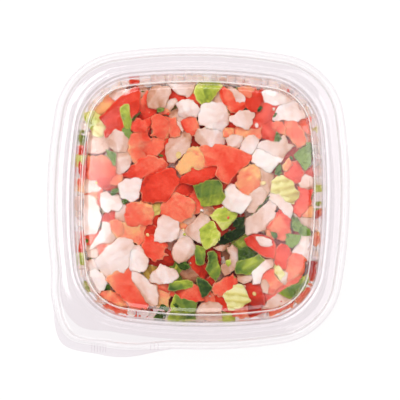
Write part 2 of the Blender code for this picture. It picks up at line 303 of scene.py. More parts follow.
def produce(name, stops, **changes):
    look = {**flesh, **changes}
    made, tree, surface = emptyMaterial(name)
    place = node(tree, "ShaderNodeTexCoord").outputs["Object"]
    tone, rim, grain = [node(tree, "ShaderNodeAttribute", {"attribute_name": label}).outputs["Fac"]
                        for label in ("tone", "rim", "grain")]
    mottle = node(tree, "ShaderNodeTexNoise", values={
        "Scale": look["scale"], "Detail": look["detail"], "Distortion": look["distortion"],
    }, links={"Vector": place}).outputs[0]
    grit = node(tree, "ShaderNodeTexNoise", values={"Scale": look["grit"], "Detail": look["gritDetail"]},
                links={"Vector": place}).outputs[0]
    spread = sums(tree, "MULTIPLY", sums(tree, "SUBTRACT", mottle, 0.5), look["spread"])
    speckle = sums(tree, "MULTIPLY", sums(tree, "SUBTRACT", grit, 0.5), look["speckle"])
    wave = sums(tree, "SINE", sums(tree, "ADD", sums(tree, "MULTIPLY", grain, look["lines"]),
                                   sums(tree, "MULTIPLY", mottle, look["lineWarp"])))
    line = sums(tree, "POWER", sums(tree, "ADD", sums(tree, "MULTIPLY", wave, 0.5), 0.5), look["lineSharp"])
    lined = sums(tree, "MULTIPLY", line, look["lineDepth"])
    # The rim also shifts the tone: painted edge highlight on tomato and onion, paler flesh on peppers.
    shift = sums(tree, "ADD", sums(tree, "ADD", spread, speckle),
                 sums(tree, "ADD", lined, sums(tree, "MULTIPLY", rim, look["rim"])))
    ramp = node(tree, "ShaderNodeValToRGB", links={"Fac": sums(tree, "ADD", tone, shift)})
    elements = ramp.color_ramp.elements
    while len(elements) < len(stops):
        elements.new(0.5)
    for element, (position, colour) in zip(elements, stops):
        element.position = position
        element.color = linear(colour)
    patchy = node(tree, "ShaderNodeMapRange", values={
        "From Min": look["rimPatches"][0], "From Max": look["rimPatches"][1],
        "To Min": 0.0, "To Max": look["rimShare"],
    }, links={"Value": mottle})
    # Towards the edge the colour turns paler in patches: painted highlight on tomato and onion, real flesh
    # on peppers.
    tinted = node(tree, "ShaderNodeMix", {"data_type": "RGBA"}, {7: linear(look["rimColour"])}, {
        0: sums(tree, "MULTIPLY", sums(tree, "POWER", rim, 2.0), patchy.outputs[0]), 6: ramp.outputs[0]})
    ridges = sums(tree, "ADD", sums(tree, "MULTIPLY", grit, look["gritHeight"]),
                  sums(tree, "MULTIPLY", line, look["ridge"]))
    bump = node(tree, "ShaderNodeBump", values={"Strength": look["bump"], "Distance": look["bumpDistance"]},
                links={"Height": sums(tree, "ADD", mottle, ridges)})
    shader = node(tree, "ShaderNodeBsdfPrincipled", values={
        "Roughness": look["roughness"], "IOR": look["refraction"], "Specular IOR Level": look["gloss"],
        "Coat Weight": look["coat"], "Coat Roughness": look["coatRoughness"],
        "Subsurface Weight": look["depth"], "Subsurface Radius": look["radius"],
        "Subsurface Scale": look["depthScale"],
    }, links={"Base Color": tinted.outputs[2], "Normal": bump.outputs[0]})
    tree.links.new(shader.outputs[0], surface)
    return made


# Wet tomato flesh and skin, from deep red to orange.
tomatoFlesh = produce("tomato_flesh", [
    (0.0, "ac1c04"), (0.15, "cc2c0c"), (0.35, "e43e22"), (0.5, "ee5238"),
    (0.65, "f27052"), (0.8, "f48c68"), (0.92, "f6aa78"), (1.0, "f8c080"),
], spread=0.75, grit=850.0, lines=1.1, bump=0.45, gloss=0.12, coat=0.02)
# Raw white onion.
onionFlesh = produce("white_onion", [
    (0.0, "faf0e9"), (0.2, "f3e1d8"), (0.4, "ebd0c2"), (0.6, "deb8a2"), (0.8, "c99474"), (1.0, "a46844"),
], scale=120.0, spread=1.0, grit=600.0, speckle=0.2, lines=1.9, lineSharp=1.5, rimColour="f6e2ca",
    rimShare=0.5, bump=0.4, depth=0.45, radius=(1.0, 0.7, 0.5), gloss=0.25)
# Green pepper, its flesh paler than its skin.
greenFlesh = produce("green_pepper", [
    (0.0, "e4e28a"), (0.15, "cbd556"), (0.35, "aab93f"), (0.5, "889a33"),
    (0.7, "648030"), (0.85, "466220"), (1.0, "294614"),
], spread=1.1, lineDepth=-0.1, ridge=0.3, rim=-0.2, rimColour="dcd084", rimShare=0.8, roughness=0.28,
    depth=0.3, radius=(0.6, 1.0, 0.3), gloss=0.15)
# Pale ribbed inner flesh of a yellow-green pepper.
paleFlesh = produce("pale_pepper", [
    (0.0, "eeebb6"), (0.3, "e6e094"), (0.5, "d4c86e"), (0.9, "b28f34"), (1.0, "98762a"),
], grit=700.0, speckle=0.2, lines=2.0, lineDepth=0.26, lineSharp=2.0, ridge=0.4, rim=-0.08,
    rimColour="fbf4c4", bump=0.6, radius=(1.0, 0.9, 0.4), coat=0.04)
# Chopped cilantro leaf.
leafGreen = produce("cilantro_leaf", [
    (0.0, "0a1603"), (0.3, "1e340a"), (0.6, "466218"), (1.0, "86a04c"),
], scale=450.0, spread=0.9, grit=1400.0, lines=2.4, lineDepth=0.12, lineSharp=5.0, ridge=0.4, rim=0.12,
    rimColour="a0b468", rimShare=0.3, roughness=0.45, gloss=0.04, coat=0.0,
    depth=0.12, radius=(0.5, 1.0, 0.3))
# Tomato seed.
seedCoat = produce("tomato_seed", [
    (0.0, "f6e6b4"), (0.5, "eed696"), (1.0, "dcb868"),
], scale=500.0, spread=0.4, grit=1500.0, speckle=0.1, lines=1.0, lineDepth=0.0, lineSharp=1.0, ridge=0.0,
    rimColour="e8cc84", rimShare=0.5, bump=0.3, depth=0.3, radius=(1.0, 0.8, 0.4), gloss=0.3, coat=0.1)

petTub = clearPlastic("clear_pet_tub", edge="b4acae", body="f2edf2", milk=0.1, roughness=0.06)
petTab = clearPlastic("clear_pet_tab", clear="faf7f9", edge="ccc5c9", body="f2edf2", milk=0.1, haze=0.03,
                      roughness=0.06)
petLid = clearPlastic("clear_pet_lid")
petPanel = clearPlastic("clear_pet_lid_panel", clear="fefdfe", edge="edeaec", haze=0.004, roughness=0.125)
# Where the sheet bends sharply at the panel's edge, a milky white band is painted highlight.
petBendHighlight = clearPlastic("pet_bend_painted_highlight", clear="fefdfe", edge="f4f0ee", body="fffaf5", milk=0.3, haze=0.5,
                       roughness=0.12)
print("materials made")


# Shells

def addObject(name, data):
    made = bpy.data.objects.new(name, data)
    bpy.context.scene.collection.objects.link(made)
    return made


# A mesh through rings, each joined to the one before. A number given for a ring is its material's.
def meshThrough(name, rings, looks, numbers=None, closed=False):
    build = bmesh.new()
    rows = [[build.verts.new(point) for point in points] for points in rings]
    numbers = numbers or [0] * len(rows)
    for upper, lower, number in zip(rows, rows[1:], numbers):
        for i in range(len(upper)):
            j = (i + 1) % len(upper)
            build.faces.new((upper[i], upper[j], lower[j], lower[i])).material_index = number
    if closed:
        build.faces.new(rows[0][::-1])
    build.faces.new(rows[-1]).material_index = numbers[-1]
    bmesh.ops.recalc_face_normals(build, faces=build.faces)
    mesh = bpy.data.meshes.new(name)
    for look in looks:
        mesh.materials.append(look)
    build.to_mesh(mesh)
    build.free()
    return mesh


# A closed thin wall round the skin through the rings.
def shellPiece(name, rings, numbers, wall, looks):
    thin = addObject(name + "Thin", meshThrough(name, rings, looks, numbers))
    solid = thin.modifiers.new("wall", "SOLIDIFY")
    solid.thickness = wall
    solid.offset = 0.0
    solid.use_even_offset = True
    evaluated = thin.evaluated_get(bpy.context.evaluated_depsgraph_get())
    walled = bpy.data.meshes.new_from_object(evaluated)
    bpy.data.objects.remove(thin)
    walled.name = name
    walled.shade_smooth()
    walled.set_sharp_from_angle(angle=math.radians(40))
    return addObject(name, walled)


# Small ribs on the grip tab, in mm: the near and far end of each row and where its ribs are.
ribs = {"width": 0.35 * mm, "height": 0.3 * mm, "base": 43.5 * mm, "rows": [
    (-63.0, -66.8, (-44.9, -43.7, -42.5, -41.3, -40.1, -38.9)), (-62.9, -65.6, (-19.6, -18.0, -16.4)),
]}


def addRibs(shell):
    build = bmesh.new()
    build.from_mesh(shell.data)
    for near, far, columns in ribs["rows"]:
        for x in columns:
            place = (x * mm, (near + far) / 2 * mm, ribs["base"] + tub["wall"] / 2)
            made = bmesh.ops.create_cube(build, size=1.0)["verts"]
            bmesh.ops.scale(build, verts=made, vec=(ribs["width"], (near - far) * mm, ribs["height"]))
            bmesh.ops.translate(build, verts=made, vec=place)
    build.to_mesh(shell.data)
    build.free()
    return shell


def makeTub():
    rings, numbers = [], []
    for inset, height, corner, tab, rounder in roundedProfile(tub):
        rings.append(ring(inset * mm, height * mm, corner, tab, rounder * mm, shrinks=True))
        numbers.append(1 if inset < tub["tabInset"] else 0)
    return addRibs(shellPiece("tubShell", rings, numbers, tub["wall"], [petTub, petTab]))


def makeLid():
    rings, numbers = [], []
    for inset, height, corner, tab, rounder in roundedProfile(lid):
        rings.append(ring(inset * mm, height * mm, corner, tab, rounder * mm))
        bent = lid["bend"][0] < inset < lid["bend"][1]
        numbers.append(2 if bent else 1 if inset > lid["panelInset"] else 0)
    creased = []
    for x, y, z in ring(lid["creaseInset"], lid["creaseHeight"], rounder=lid["creaseRounder"]):
        share = min(1.0, lid["creaseDistance"] * math.sqrt(2) / (abs(x) + abs(y)))
        creased.append((x * share, y * share, z))
    rings.append(creased)
    for share in lid["crownShares"]:
        height = lid["creaseHeight"] + (lid["crownHeight"] - lid["creaseHeight"]) * (1 - share ** 2)
        rings.append([(x * share, y * share, height) for x, y, _ in creased])
    numbers += [1] * (len(rings) - len(numbers))
    return shellPiece("lidShell", rings, numbers, lid["wall"], [petLid, petPanel, petBendHighlight])


tubShell = makeTub()
lidShell = makeLid()
print("shells made")

# The pieces that show on top, outlined over the photograph. Each has its depth below the lid,
# thickness, tone, how far its top swells, and its outline, in mm.
# Some tones follow the darker colour of pieces lying in shadow, and so carry painted shade.
tomatoTop = [
    (0.8, 7.0, 0.3, 0.8, [(-26.7, 47.7), (-25.8, 44.2), (-25.9, 39.5), (-26.7, 36.3), (-28.6, 35.0),
     (-29.6, 32.6), (-32.5, 30.1), (-33.4, 27.6), (-35.9, 29.3), (-39.8, 25.6), (-40.8, 27.5),
     (-39.4, 30.0), (-41.6, 32.7), (-42.4, 33.9), (-39.5, 37.1), (-35.6, 41.3), (-31.2, 44.8)]),
    (2.5, 6.0, 1.05, 0.2, [(-36.4, 42.8), (-38.6, 43.5), (-41.0, 41.5), (-44.6, 37.3), (-43.4, 35.1),
     (-39.5, 36.9), (-35.6, 41.3)]),
    (0.5, 6.0, 0.55, 0.3, [(-27.2, 33.8), (-23.9, 32.9), (-21.3, 34.2), (-21.0, 31.2), (-22.7, 28.7),
     (-24.9, 27.5), (-28.6, 28.7), (-29.1, 30.9)]),
    (0.8, 7.0, 0.66, 0.3, [(-22.9, 31.0), (-21.5, 30.5), (-22.7, 28.3), (-21.9, 26.3), (-20.2, 25.1),
     (-23.1, 23.8), (-20.6, 19.7), (-23.5, 16.7), (-27.1, 14.4), (-29.6, 17.9), (-30.4, 22.7),
     (-29.0, 26.5), (-26.6, 28.0)]),
    (3.0, 5.0, 0.5, 0.2, [(-22.6, 45.2), (-21.6, 43.7), (-22.8, 39.5), (-23.5, 36.1), (-26.0, 36.6),
     (-25.5, 41.2)]),
    (3.4, 6.0, 0.3, 0.1, [(-23.8, 39.3), (-18.9, 38.6), (-19.6, 35.4), (-21.3, 33.7), (-24.7, 32.9),
     (-25.5, 36.3)]),
    (1.2, 6.0, 0.35, 0.4, [(-51.5, 20.0), (-50.5, 21.5), (-49.3, 21.7), (-48.0, 13.5), (-48.9, 6.3),
     (-50.6, 6.3), (-51.7, 13.4)]),
    (3.6, 6.0, 0.4, 0.2, [(-12.6, 46.3), (-9.7, 45.6), (-5.7, 44.0), (-4.7, 42.7), (-7.6, 41.0),
     (-10.6, 41.9), (-13.1, 42.9)]),
    (1.5, 4.0, 0.8, 0.2, [(-19.6, 50.7), (-18.0, 50.7), (-18.0, 50.0), (-19.6, 50.0)]),
    (2.6, 7.0, 0.55, 0.2, [(-4.0, 45.5), (-2.3, 46.2), (-1.5, 43.3), (-0.3, 41.1), (0.5, 39.4),
     (-0.5, 37.7), (-2.2, 39.3), (-3.7, 41.5), (-5.4, 42.7)]),
    (2.0, 7.0, 0.6, 0.2, [(-3.9, 35.4), (-1.9, 34.4), (-0.9, 32.0), (-1.1, 29.3), (-2.3, 27.3),
     (-3.7, 26.8), (-5.2, 29.0), (-7.7, 29.9), (-8.0, 32.1), (-6.1, 34.4)]),
    (0.4, 7.0, 0.62, 0.3, [(-20.8, 35.2), (-17.1, 35.5), (-13.7, 33.5), (-12.4, 28.9), (-13.3, 26.4),
     (-15.5, 24.4), (-18.2, 26.6), (-20.4, 26.3), (-19.2, 28.3), (-20.2, 30.7)]),
    (1.4, 6.0, 0.6, 0.2, [(-14.9, 34.5), (-10.5, 33.8), (-8.5, 31.6), (-8.2, 29.0), (-9.4, 27.0),
     (-11.8, 26.7), (-12.6, 29.4), (-13.9, 32.8)]),
    (0.9, 6.0, 0.6, 0.3, [(-25.1, 23.8), (-20.2, 24.6), (-16.7, 25.4), (-14.5, 24.2), (-15.7, 20.7),
     (-19.3, 18.0), (-22.5, 17.0), (-25.5, 16.9)]),
    (3.0, 6.0, 0.3, 0.1, [(-17.2, 21.7), (-15.0, 23.5), (-12.8, 25.5), (-13.2, 17.6), (-13.9, 14.6),
     (-18.6, 16.3), (-20.1, 18.0)]),
    (0.7, 8.0, 0.98, 0.4, [(-4.4, 21.4), (-0.5, 22.2), (1.0, 19.3), (3.2, 16.1), (2.6, 13.1), (0.6, 11.4),
     (-0.8, 12.4), (-2.3, 13.6), (-5.2, 10.3), (-8.2, 9.8), (-9.7, 12.7), (-7.8, 15.7), (-5.8, 18.7)]),
    (0.3, 6.0, 0.54, 1.2, [(-0.2, 21.8), (2.6, 22.6), (5.4, 22.9), (8.1, 22.9), (11.1, 22.5), (15.4, 21.5),
     (18.9, 20.3), (23.2, 18.1), (21.1, 14.9), (16.8, 12.0), (14.1, 8.6), (12.6, 6.4), (9.6, 7.7),
     (7.5, 10.0), (8.7, 13.4), (8.0, 14.5), (2.3, 13.3), (3.1, 16.3), (1.8, 19.3)]),
    (1.2, 6.0, 0.4, 0.4, [(-1.9, 14.5), (-0.8, 12.8), (0.9, 11.6), (3.6, 13.6), (8.0, 14.4), (9.0, 13.6),
     (7.3, 10.4), (4.1, 8.2), (0.5, 6.4), (-2.0, 5.6), (-6.9, 6.5), (-8.4, 6.5), (-5.7, 10.0),
     (-3.3, 12.7)]),
    (1.0, 7.0, 0.56, 0.3, [(10.4, 47.8), (11.6, 47.4), (13.7, 45.9), (14.7, 42.9), (16.5, 40.9),
     (19.2, 40.3), (19.5, 39.1), (17.1, 37.6), (14.8, 36.9), (12.9, 37.8), (11.7, 40.2), (9.3, 42.9),
     (8.6, 45.3)]),
    (0.5, 7.0, 0.28, 0.3, [(24.5, 46.5), (26.6, 47.0), (27.3, 44.0), (28.1, 41.3), (25.8, 39.5),
     (24.7, 37.4), (22.2, 38.2), (19.5, 39.7), (19.0, 44.2), (21.2, 45.1)]),
    (2.2, 7.0, 0.42, 0.2, [(27.3, 41.3), (35.4, 41.3), (33.0, 38.4), (31.6, 36.0), (30.1, 33.5),
     (27.7, 31.7), (26.3, 29.6), (20.9, 29.5), (23.2, 32.0), (23.2, 36.2), (24.3, 38.0)]),
    (4.2, 5.0, 0.2, 0.1, [(12.4, 34.8), (15.7, 33.0), (19.6, 30.7), (21.8, 29.2), (15.8, 29.1),
     (12.4, 31.2)]),
    (2.4, 6.0, 0.82, 0.2, [(12.7, 30.9), (15.7, 31.8), (20.3, 29.8), (26.3, 30.2), (27.8, 29.0),
     (27.2, 26.6), (24.8, 26.0), (22.7, 27.1), (20.0, 26.2), (14.3, 27.0)]),
    (2.2, 6.0, 0.36, 0.2, [(27.4, 32.0), (30.7, 33.9), (32.5, 32.1), (33.5, 29.1), (32.9, 24.6),
     (30.8, 25.5), (27.5, 26.6), (26.9, 29.0)]),
    (2.0, 5.0, 0.72, 0.2, [(31.6, 32.1), (34.6, 33.0), (37.4, 30.6), (37.1, 27.9), (34.7, 28.2),
     (32.6, 30.3)]),
    (0.8, 6.0, 0.7, 0.4, [(37.0, 33.9), (38.5, 34.6), (41.5, 32.8), (44.3, 29.2), (46.1, 26.3),
     (45.6, 23.6), (42.9, 22.0), (41.0, 23.8), (38.9, 26.8), (36.8, 28.5), (36.9, 30.9)]),
    (2.4, 5.0, 0.62, 0.1, [(41.8, 34.0), (46.9, 35.3), (47.3, 28.1), (45.2, 29.9)]),
    (3.6, 5.0, 0.12, 0.1, [(39.9, 23.5), (42.6, 21.4), (41.1, 17.8), (39.4, 14.2), (34.0, 11.1),
     (31.0, 10.5), (34.8, 17.1), (38.1, 20.2)]),
    (3.8, 5.0, 0.12, 0.1, [(30.4, 11.0), (33.1, 14.1), (35.7, 17.1), (39.6, 20.2), (39.9, 17.2),
     (36.4, 14.4), (36.7, 11.4), (34.1, 9.0), (31.6, 9.6)]),
    (0.8, 5.0, 0.84, 0.2, [(36.1, 14.4), (38.7, 17.3), (39.8, 15.1), (38.4, 12.4), (36.7, 12.8)]),
    (1.4, 6.0, 0.46, 0.3, [(40.0, 16.0), (41.5, 16.6), (43.9, 13.9), (45.1, 11.3), (43.4, 7.3), (41.3, 6.4),
     (38.3, 9.4), (36.7, 11.4), (38.5, 13.0)]),
    (3.0, 6.0, 0.4, 0.2, [(45.1, 11.9), (49.0, 14.3), (49.4, 9.5), (46.4, 8.6)]),
    (1.6, 6.0, 0.5, 0.5, [(42.8, 5.8), (46.1, 4.1), (48.8, 3.5), (48.7, -0.1), (47.1, -3.1), (44.5, -7.5),
     (40.8, -4.4), (40.4, -2.3), (43.2, 1.0), (43.3, 3.4)]),
    (0.8, 7.0, 0.84, 0.4, [(21.4, 14.5), (25.0, 14.4), (26.2, 13.4), (26.1, 9.8), (25.7, 5.6), (24.8, 2.9),
     (21.2, 1.9), (18.5, 2.5), (16.4, 6.6), (16.6, 10.0), (17.2, 11.5)]),
    (0.9, 7.0, 0.68, 0.3, [(33.7, -6.0), (35.4, -4.8), (37.3, -6.6), (39.9, -8.9), (39.8, -12.5),
     (38.6, -16.4), (36.2, -18.4), (34.4, -16.8), (33.8, -14.7), (31.4, -13.5), (29.4, -11.5), (31.3, -9.9),
     (32.8, -8.1)]),
    (2.8, 5.0, 0.95, 0.1, [(28.9, -11.5), (32.8, -9.9), (34.4, -14.1), (32.9, -16.5), (29.6, -14.2)]),
    (0.4, 7.0, 0.26, 0.8, [(20.2, -17.6), (24.2, -15.0), (28.4, -15.8), (32.3, -17.7), (33.4, -20.1),
     (33.4, -22.8), (32.7, -25.3), (28.5, -24.4), (24.3, -21.7), (22.5, -20.5)]),
    (1.4, 5.0, 0.74, 0.3, [(50.1, -14.4), (52.2, -14.2), (52.7, -17.8), (51.0, -20.1), (50.0, -18.1)]),
    (1.2, 6.0, 0.6, 0.4, [(-47.3, 17.0), (-40.2, 17.1), (-38.2, 15.4), (-35.9, 12.5), (-35.9, 9.8),
     (-37.3, 7.3), (-36.8, 5.4), (-39.0, 3.9), (-42.2, 4.6), (-44.2, 7.2), (-47.9, 7.4)]),
    (3.0, 5.0, 0.85, 0.2, [(-48.8, 3.3), (-42.0, 4.1), (-41.4, 2.6), (-42.1, -0.8), (-44.1, 0.1),
     (-48.8, 0.3)]),
    (3.6, 5.0, 0.62, 0.2, [(-45.6, 0.8), (-41.7, 3.1), (-41.9, -0.8), (-42.6, -5.0), (-44.3, -2.6)]),
    (0.4, 6.0, 0.55, 0.5, [(-34.8, 9.5), (-32.0, 10.6), (-29.3, 12.1), (-25.9, 15.6), (-23.5, 16.9),
     (-21.0, 17.4), (-16.6, 16.5), (-13.9, 14.5), (-13.6, 13.3), (-15.5, 11.6), (-18.5, 9.8), (-23.4, 8.5),
     (-28.3, 8.6), (-32.2, 8.8)]),
    (0.5, 8.0, 0.36, 0.4, [(-24.3, 6.3), (-22.9, 8.3), (-18.7, 9.6), (-13.4, 13.1), (-11.4, 12.6),
     (-8.3, 8.0), (-9.1, 4.5), (-11.0, 2.1), (-13.4, -1.2), (-17.8, -2.0), (-20.8, -2.2), (-23.7, -1.3),
     (-24.8, 2.4)]),
    (0.8, 7.0, 0.66, 0.4, [(-30.3, -3.1), (-28.1, -2.3), (-24.4, -2.0), (-22.2, -2.0), (-19.9, -3.9),
     (-19.6, -7.4), (-20.4, -10.6), (-22.3, -11.6), (-25.5, -12.5), (-28.5, -12.8), (-30.8, -11.2),
     (-31.0, -7.5)]),
    (3.2, 5.0, 0.3, 0.1, [(-39.1, -6.4), (-37.4, -4.9), (-35.2, -7.6), (-35.1, -9.8), (-37.3, -10.1),
     (-39.8, -10.6), (-41.0, -9.4)]),
    (0.8, 6.0, 0.78, 0.3, [(-37.8, -10.6), (-35.6, -9.8), (-32.5, -11.0), (-32.0, -13.9), (-33.7, -16.7),
     (-35.3, -16.4), (-37.5, -14.5), (-38.0, -12.6)]),
    (1.4, 7.0, 0.86, 0.3, [(-32.5, -11.4), (-30.4, -12.0), (-28.0, -12.9), (-23.1, -11.6), (-21.5, -13.5),
     (-22.7, -17.5), (-24.7, -20.2), (-26.7, -19.3), (-30.4, -17.8), (-32.8, -17.0)]),
    (2.8, 6.0, 0.14, 0.1, [(-22.3, -11.1), (-19.6, -12.0), (-17.2, -13.7), (-18.1, -16.7), (-21.8, -17.2),
     (-22.5, -15.3), (-21.6, -13.3)]),
    (4.0, 5.0, 0.3, 0.1, [(-22.7, -7.9), (-20.0, -6.4), (-17.0, -7.3), (-16.5, -9.3), (-17.2, -12.3),
     (-21.1, -12.1)]),
    (3.0, 6.0, 0.6, 0.1, [(-48.7, -15.8), (-44.4, -15.5), (-41.0, -14.0), (-40.9, -16.2), (-45.0, -20.7),
     (-47.5, -22.4), (-48.4, -19.2)]),
    (0.5, 7.0, 0.7, 0.4, [(-11.0, 1.6), (-9.5, 2.0), (-5.6, 0.1), (-2.0, -1.7), (-1.5, -3.7), (-2.2, -5.9),
     (-3.0, -7.4), (-5.5, -8.9), (-6.7, -10.3), (-8.4, -9.8), (-11.8, -8.4), (-14.3, -7.8), (-16.5, -6.6),
     (-17.0, -5.1), (-15.4, -2.9), (-12.4, -0.9)]),
    (3.2, 5.0, 0.16, 0.1, [(-8.4, 6.8), (-5.7, 6.3), (-2.0, 5.9), (-1.5, 3.7), (-5.1, 1.7), (-8.0, 1.1),
     (-9.5, 2.1), (-9.1, 4.1)]),
    (2.2, 6.0, 0.5, 0.2, [(-5.8, 1.6), (-2.2, 2.9), (0.1, -0.2), (2.1, -3.2), (1.6, -5.4), (-1.6, -6.6),
     (-1.6, -3.2), (-2.1, -1.7), (-4.1, 0.2)]),
    (3.4, 6.0, 0.85, 0.1, [(-8.6, -9.4), (-5.9, -10.1), (-4.4, -12.1), (-6.3, -15.3), (-8.6, -14.6)]),
    (0.8, 7.0, 0.52, 0.5, [(-21.8, -16.2), (-18.3, -16.6), (-17.6, -18.8), (-14.1, -18.8), (-13.1, -20.2),
     (-14.1, -21.9), (-15.6, -23.2), (-13.1, -24.6), (-15.5, -26.6), (-18.4, -26.7), (-20.7, -26.0),
     (-23.3, -23.8), (-23.9, -20.4), (-22.7, -18.4)]),
    (3.6, 6.0, 0.12, 0.2, [(-18.0, -25.7), (-14.4, -21.7), (-10.6, -24.1), (-10.0, -25.6), (-11.1, -28.8),
     (-13.0, -29.5), (-20.4, -29.6), (-20.9, -27.2)]),
    (2.6, 5.0, 0.66, 0.2, [(-42.6, -20.4), (-39.2, -19.2), (-36.2, -19.6), (-37.4, -22.3), (-39.3, -24.3),
     (-43.5, -24.3), (-44.3, -22.9)]),
    (0.9, 7.0, 0.62, 0.7, [(-29.1, -27.9), (-28.3, -31.9), (-27.6, -35.5), (-26.2, -38.4), (-24.7, -40.3),
     (-22.9, -43.3), (-20.5, -46.6), (-21.5, -47.9), (-27.9, -47.4), (-30.5, -44.8), (-33.2, -41.7),
     (-36.3, -38.3), (-39.1, -35.9), (-37.0, -33.7), (-34.0, -30.8), (-31.4, -29.3)]),
    (1.6, 6.0, 0.8, 0.2, [(-42.4, -41.6), (-40.4, -40.1), (-36.2, -40.7), (-32.5, -43.1), (-29.5, -45.4),
     (-30.7, -47.0), (-36.1, -45.6), (-39.8, -43.7)]),
    (3.0, 6.0, 0.92, 0.2, [(-19.8, -36.0), (-16.6, -36.0), (-12.4, -37.4), (-12.8, -46.5), (-16.4, -47.0),
     (-16.8, -40.9)]),
    (2.8, 6.0, 0.58, 0.2, [(-16.4, -37.2), (-11.7, -36.4), (-11.2, -38.4), (-11.9, -39.8), (-9.9, -42.0),
     (-14.8, -42.1), (-15.6, -39.4)]),
    (1.6, 6.0, 0.5, 0.2, [(-11.6, -39.8), (-7.5, -39.3), (-4.5, -38.8), (-1.4, -37.7), (0.8, -38.2),
     (1.6, -41.6), (2.6, -44.1), (-0.5, -44.1), (-4.2, -43.8), (-8.4, -42.2), (-11.6, -41.8)]),
    (3.0, 6.0, 0.6, 0.2, [(1.4, -40.6), (4.8, -40.1), (7.8, -42.5), (7.3, -44.7), (2.9, -44.5)]),
    (2.6, 6.0, 0.12, 0.3, [(-4.2, -26.2), (-1.8, -25.0), (2.7, -27.4), (4.2, -30.8), (5.2, -33.7),
     (3.7, -34.7), (0.5, -32.8), (-2.2, -29.6)]),
    (3.6, 6.0, 0.06, 0.2, [(2.4, -22.9), (4.5, -21.4), (8.2, -20.7), (9.2, -23.8), (9.5, -28.2),
     (3.7, -29.3)]),
    (1.4, 7.0, 0.54, 0.3, [(6.9, -38.3), (9.2, -36.3), (12.2, -34.6), (15.4, -33.0), (16.8, -34.4),
     (17.3, -36.8), (15.2, -38.8), (12.3, -40.3), (11.2, -41.4), (9.5, -41.9), (8.0, -40.7)]),
    (2.2, 6.0, 0.14, 0.1, [(6.7, -41.4), (11.0, -40.7), (13.0, -43.5), (14.6, -48.3), (11.1, -48.3),
     (9.3, -45.9)]),
    (1.6, 7.0, 0.1, 0.2, [(20.3, -36.5), (24.5, -35.8), (27.6, -35.3), (28.3, -38.5), (28.6, -41.5),
     (28.7, -45.8), (25.8, -46.4), (23.1, -45.3), (23.1, -43.3), (21.2, -39.5)]),
    (1.0, 6.0, 0.72, 0.3, [(28.3, -31.0), (32.5, -30.2), (33.3, -32.4), (34.7, -35.4), (36.6, -36.5),
     (34.3, -39.7), (31.8, -41.0), (29.9, -40.4), (28.1, -37.9), (28.7, -34.3)]),
    (0.7, 7.0, 0.4, 0.3, [(33.6, -21.6), (36.3, -19.6), (38.7, -20.9), (40.4, -23.3), (39.6, -25.1),
     (38.2, -29.3), (36.4, -29.3), (33.4, -27.6), (32.9, -24.6)]),
    (0.5, 7.0, 0.7, 0.5, [(39.3, -25.1), (41.7, -23.4), (45.3, -24.0), (46.7, -26.8), (45.9, -29.8),
     (43.8, -32.2), (40.7, -34.2), (38.3, -34.9), (37.6, -32.3), (38.5, -28.1)]),
    (1.6, 6.0, 0.6, 0.2, [(28.5, -41.8), (32.6, -40.4), (37.1, -36.8), (43.6, -32.2), (45.9, -30.1),
     (43.4, -35.0), (36.2, -39.0), (28.8, -46.0)]),
    (0.9, 4.0, 0.72, 0.2, [(42.7, -43.2), (47.3, -36.1), (49.7, -37.6), (49.1, -39.5), (47.0, -42.5),
     (44.9, -44.8), (43.2, -44.2)]),
    (1.0, 4.0, 0.1, 0.2, [(48.0, -33.5), (48.8, -25.3), (51.1, -26.7), (50.1, -30.8), (49.2, -34.6)]),
    (1.0, 4.0, 0.66, 0.2, [(30.4, -47.1), (37.5, -45.7), (42.1, -43.7), (41.3, -45.9), (37.5, -47.9),
     (31.6, -50.5)]),
    (2.6, 6.0, 0.7, 0.2, [(15.3, -47.9), (22.2, -45.4), (23.4, -46.0), (23.2, -49.9), (19.9, -51.2),
     (15.7, -50.6)]),
    (3.4, 6.0, 0.14, 0.2, [(22.8, -45.7), (28.8, -45.1), (30.6, -46.5), (28.6, -49.0), (23.2, -50.2)]),
    (2.0, 6.0, 0.2, 0.2, [(48.3, -25.6), (50.4, -25.8), (50.8, -29.7), (49.7, -34.6), (47.9, -34.0)]),
    (1.2, 5.0, 0.66, 0.1, [(-42.6, -42.1), (-39.5, -43.6), (-35.7, -45.5), (-30.3, -47.8), (-19.8, -48.6),
     (-19.7, -51.6), (-27.2, -51.0), (-34.6, -49.6), (-40.1, -46.9)]),
    (1.5, 4.0, 0.35, 0.1, [(-29.9, 50.3), (-26.6, 50.3), (-26.6, 49.0), (-29.9, 49.0)]),
    (1.3, 4.0, 0.9, 0.1, [(-51.8, 7.1), (-49.5, 7.2), (-49.4, 2.0), (-51.7, 2.0)]),
    (1.3, 4.0, 0.35, 0.1, [(-50.1, -15.6), (-49.2, -15.6), (-49.0, -23.9), (-51.1, -23.7)]),
    (1.8, 5.0, 0.85, 0.2, [(17.0, 47.6), (24.0, 47.4), (24.4, 43.6), (20.4, 43.8), (17.2, 44.6)]),
    (2.0, 5.0, 0.86, 0.2, [(10.4, 30.0), (14.2, 30.2), (14.4, 26.8), (10.6, 26.6)]),
    (1.8, 5.0, 0.85, 0.2, [(45.0, -3.4), (48.8, -3.4), (49.0, -7.2), (45.4, -7.0)]),
    (2.4, 5.0, 0.88, 0.2, [(-17.2, 40.2), (-13.4, 40.2), (-13.4, 36.6), (-17.0, 36.4)]),
    (2.0, 5.0, 0.82, 0.2, [(-37.4, 9.0), (-33.4, 9.2), (-33.2, 5.4), (-37.2, 5.4)]),
]
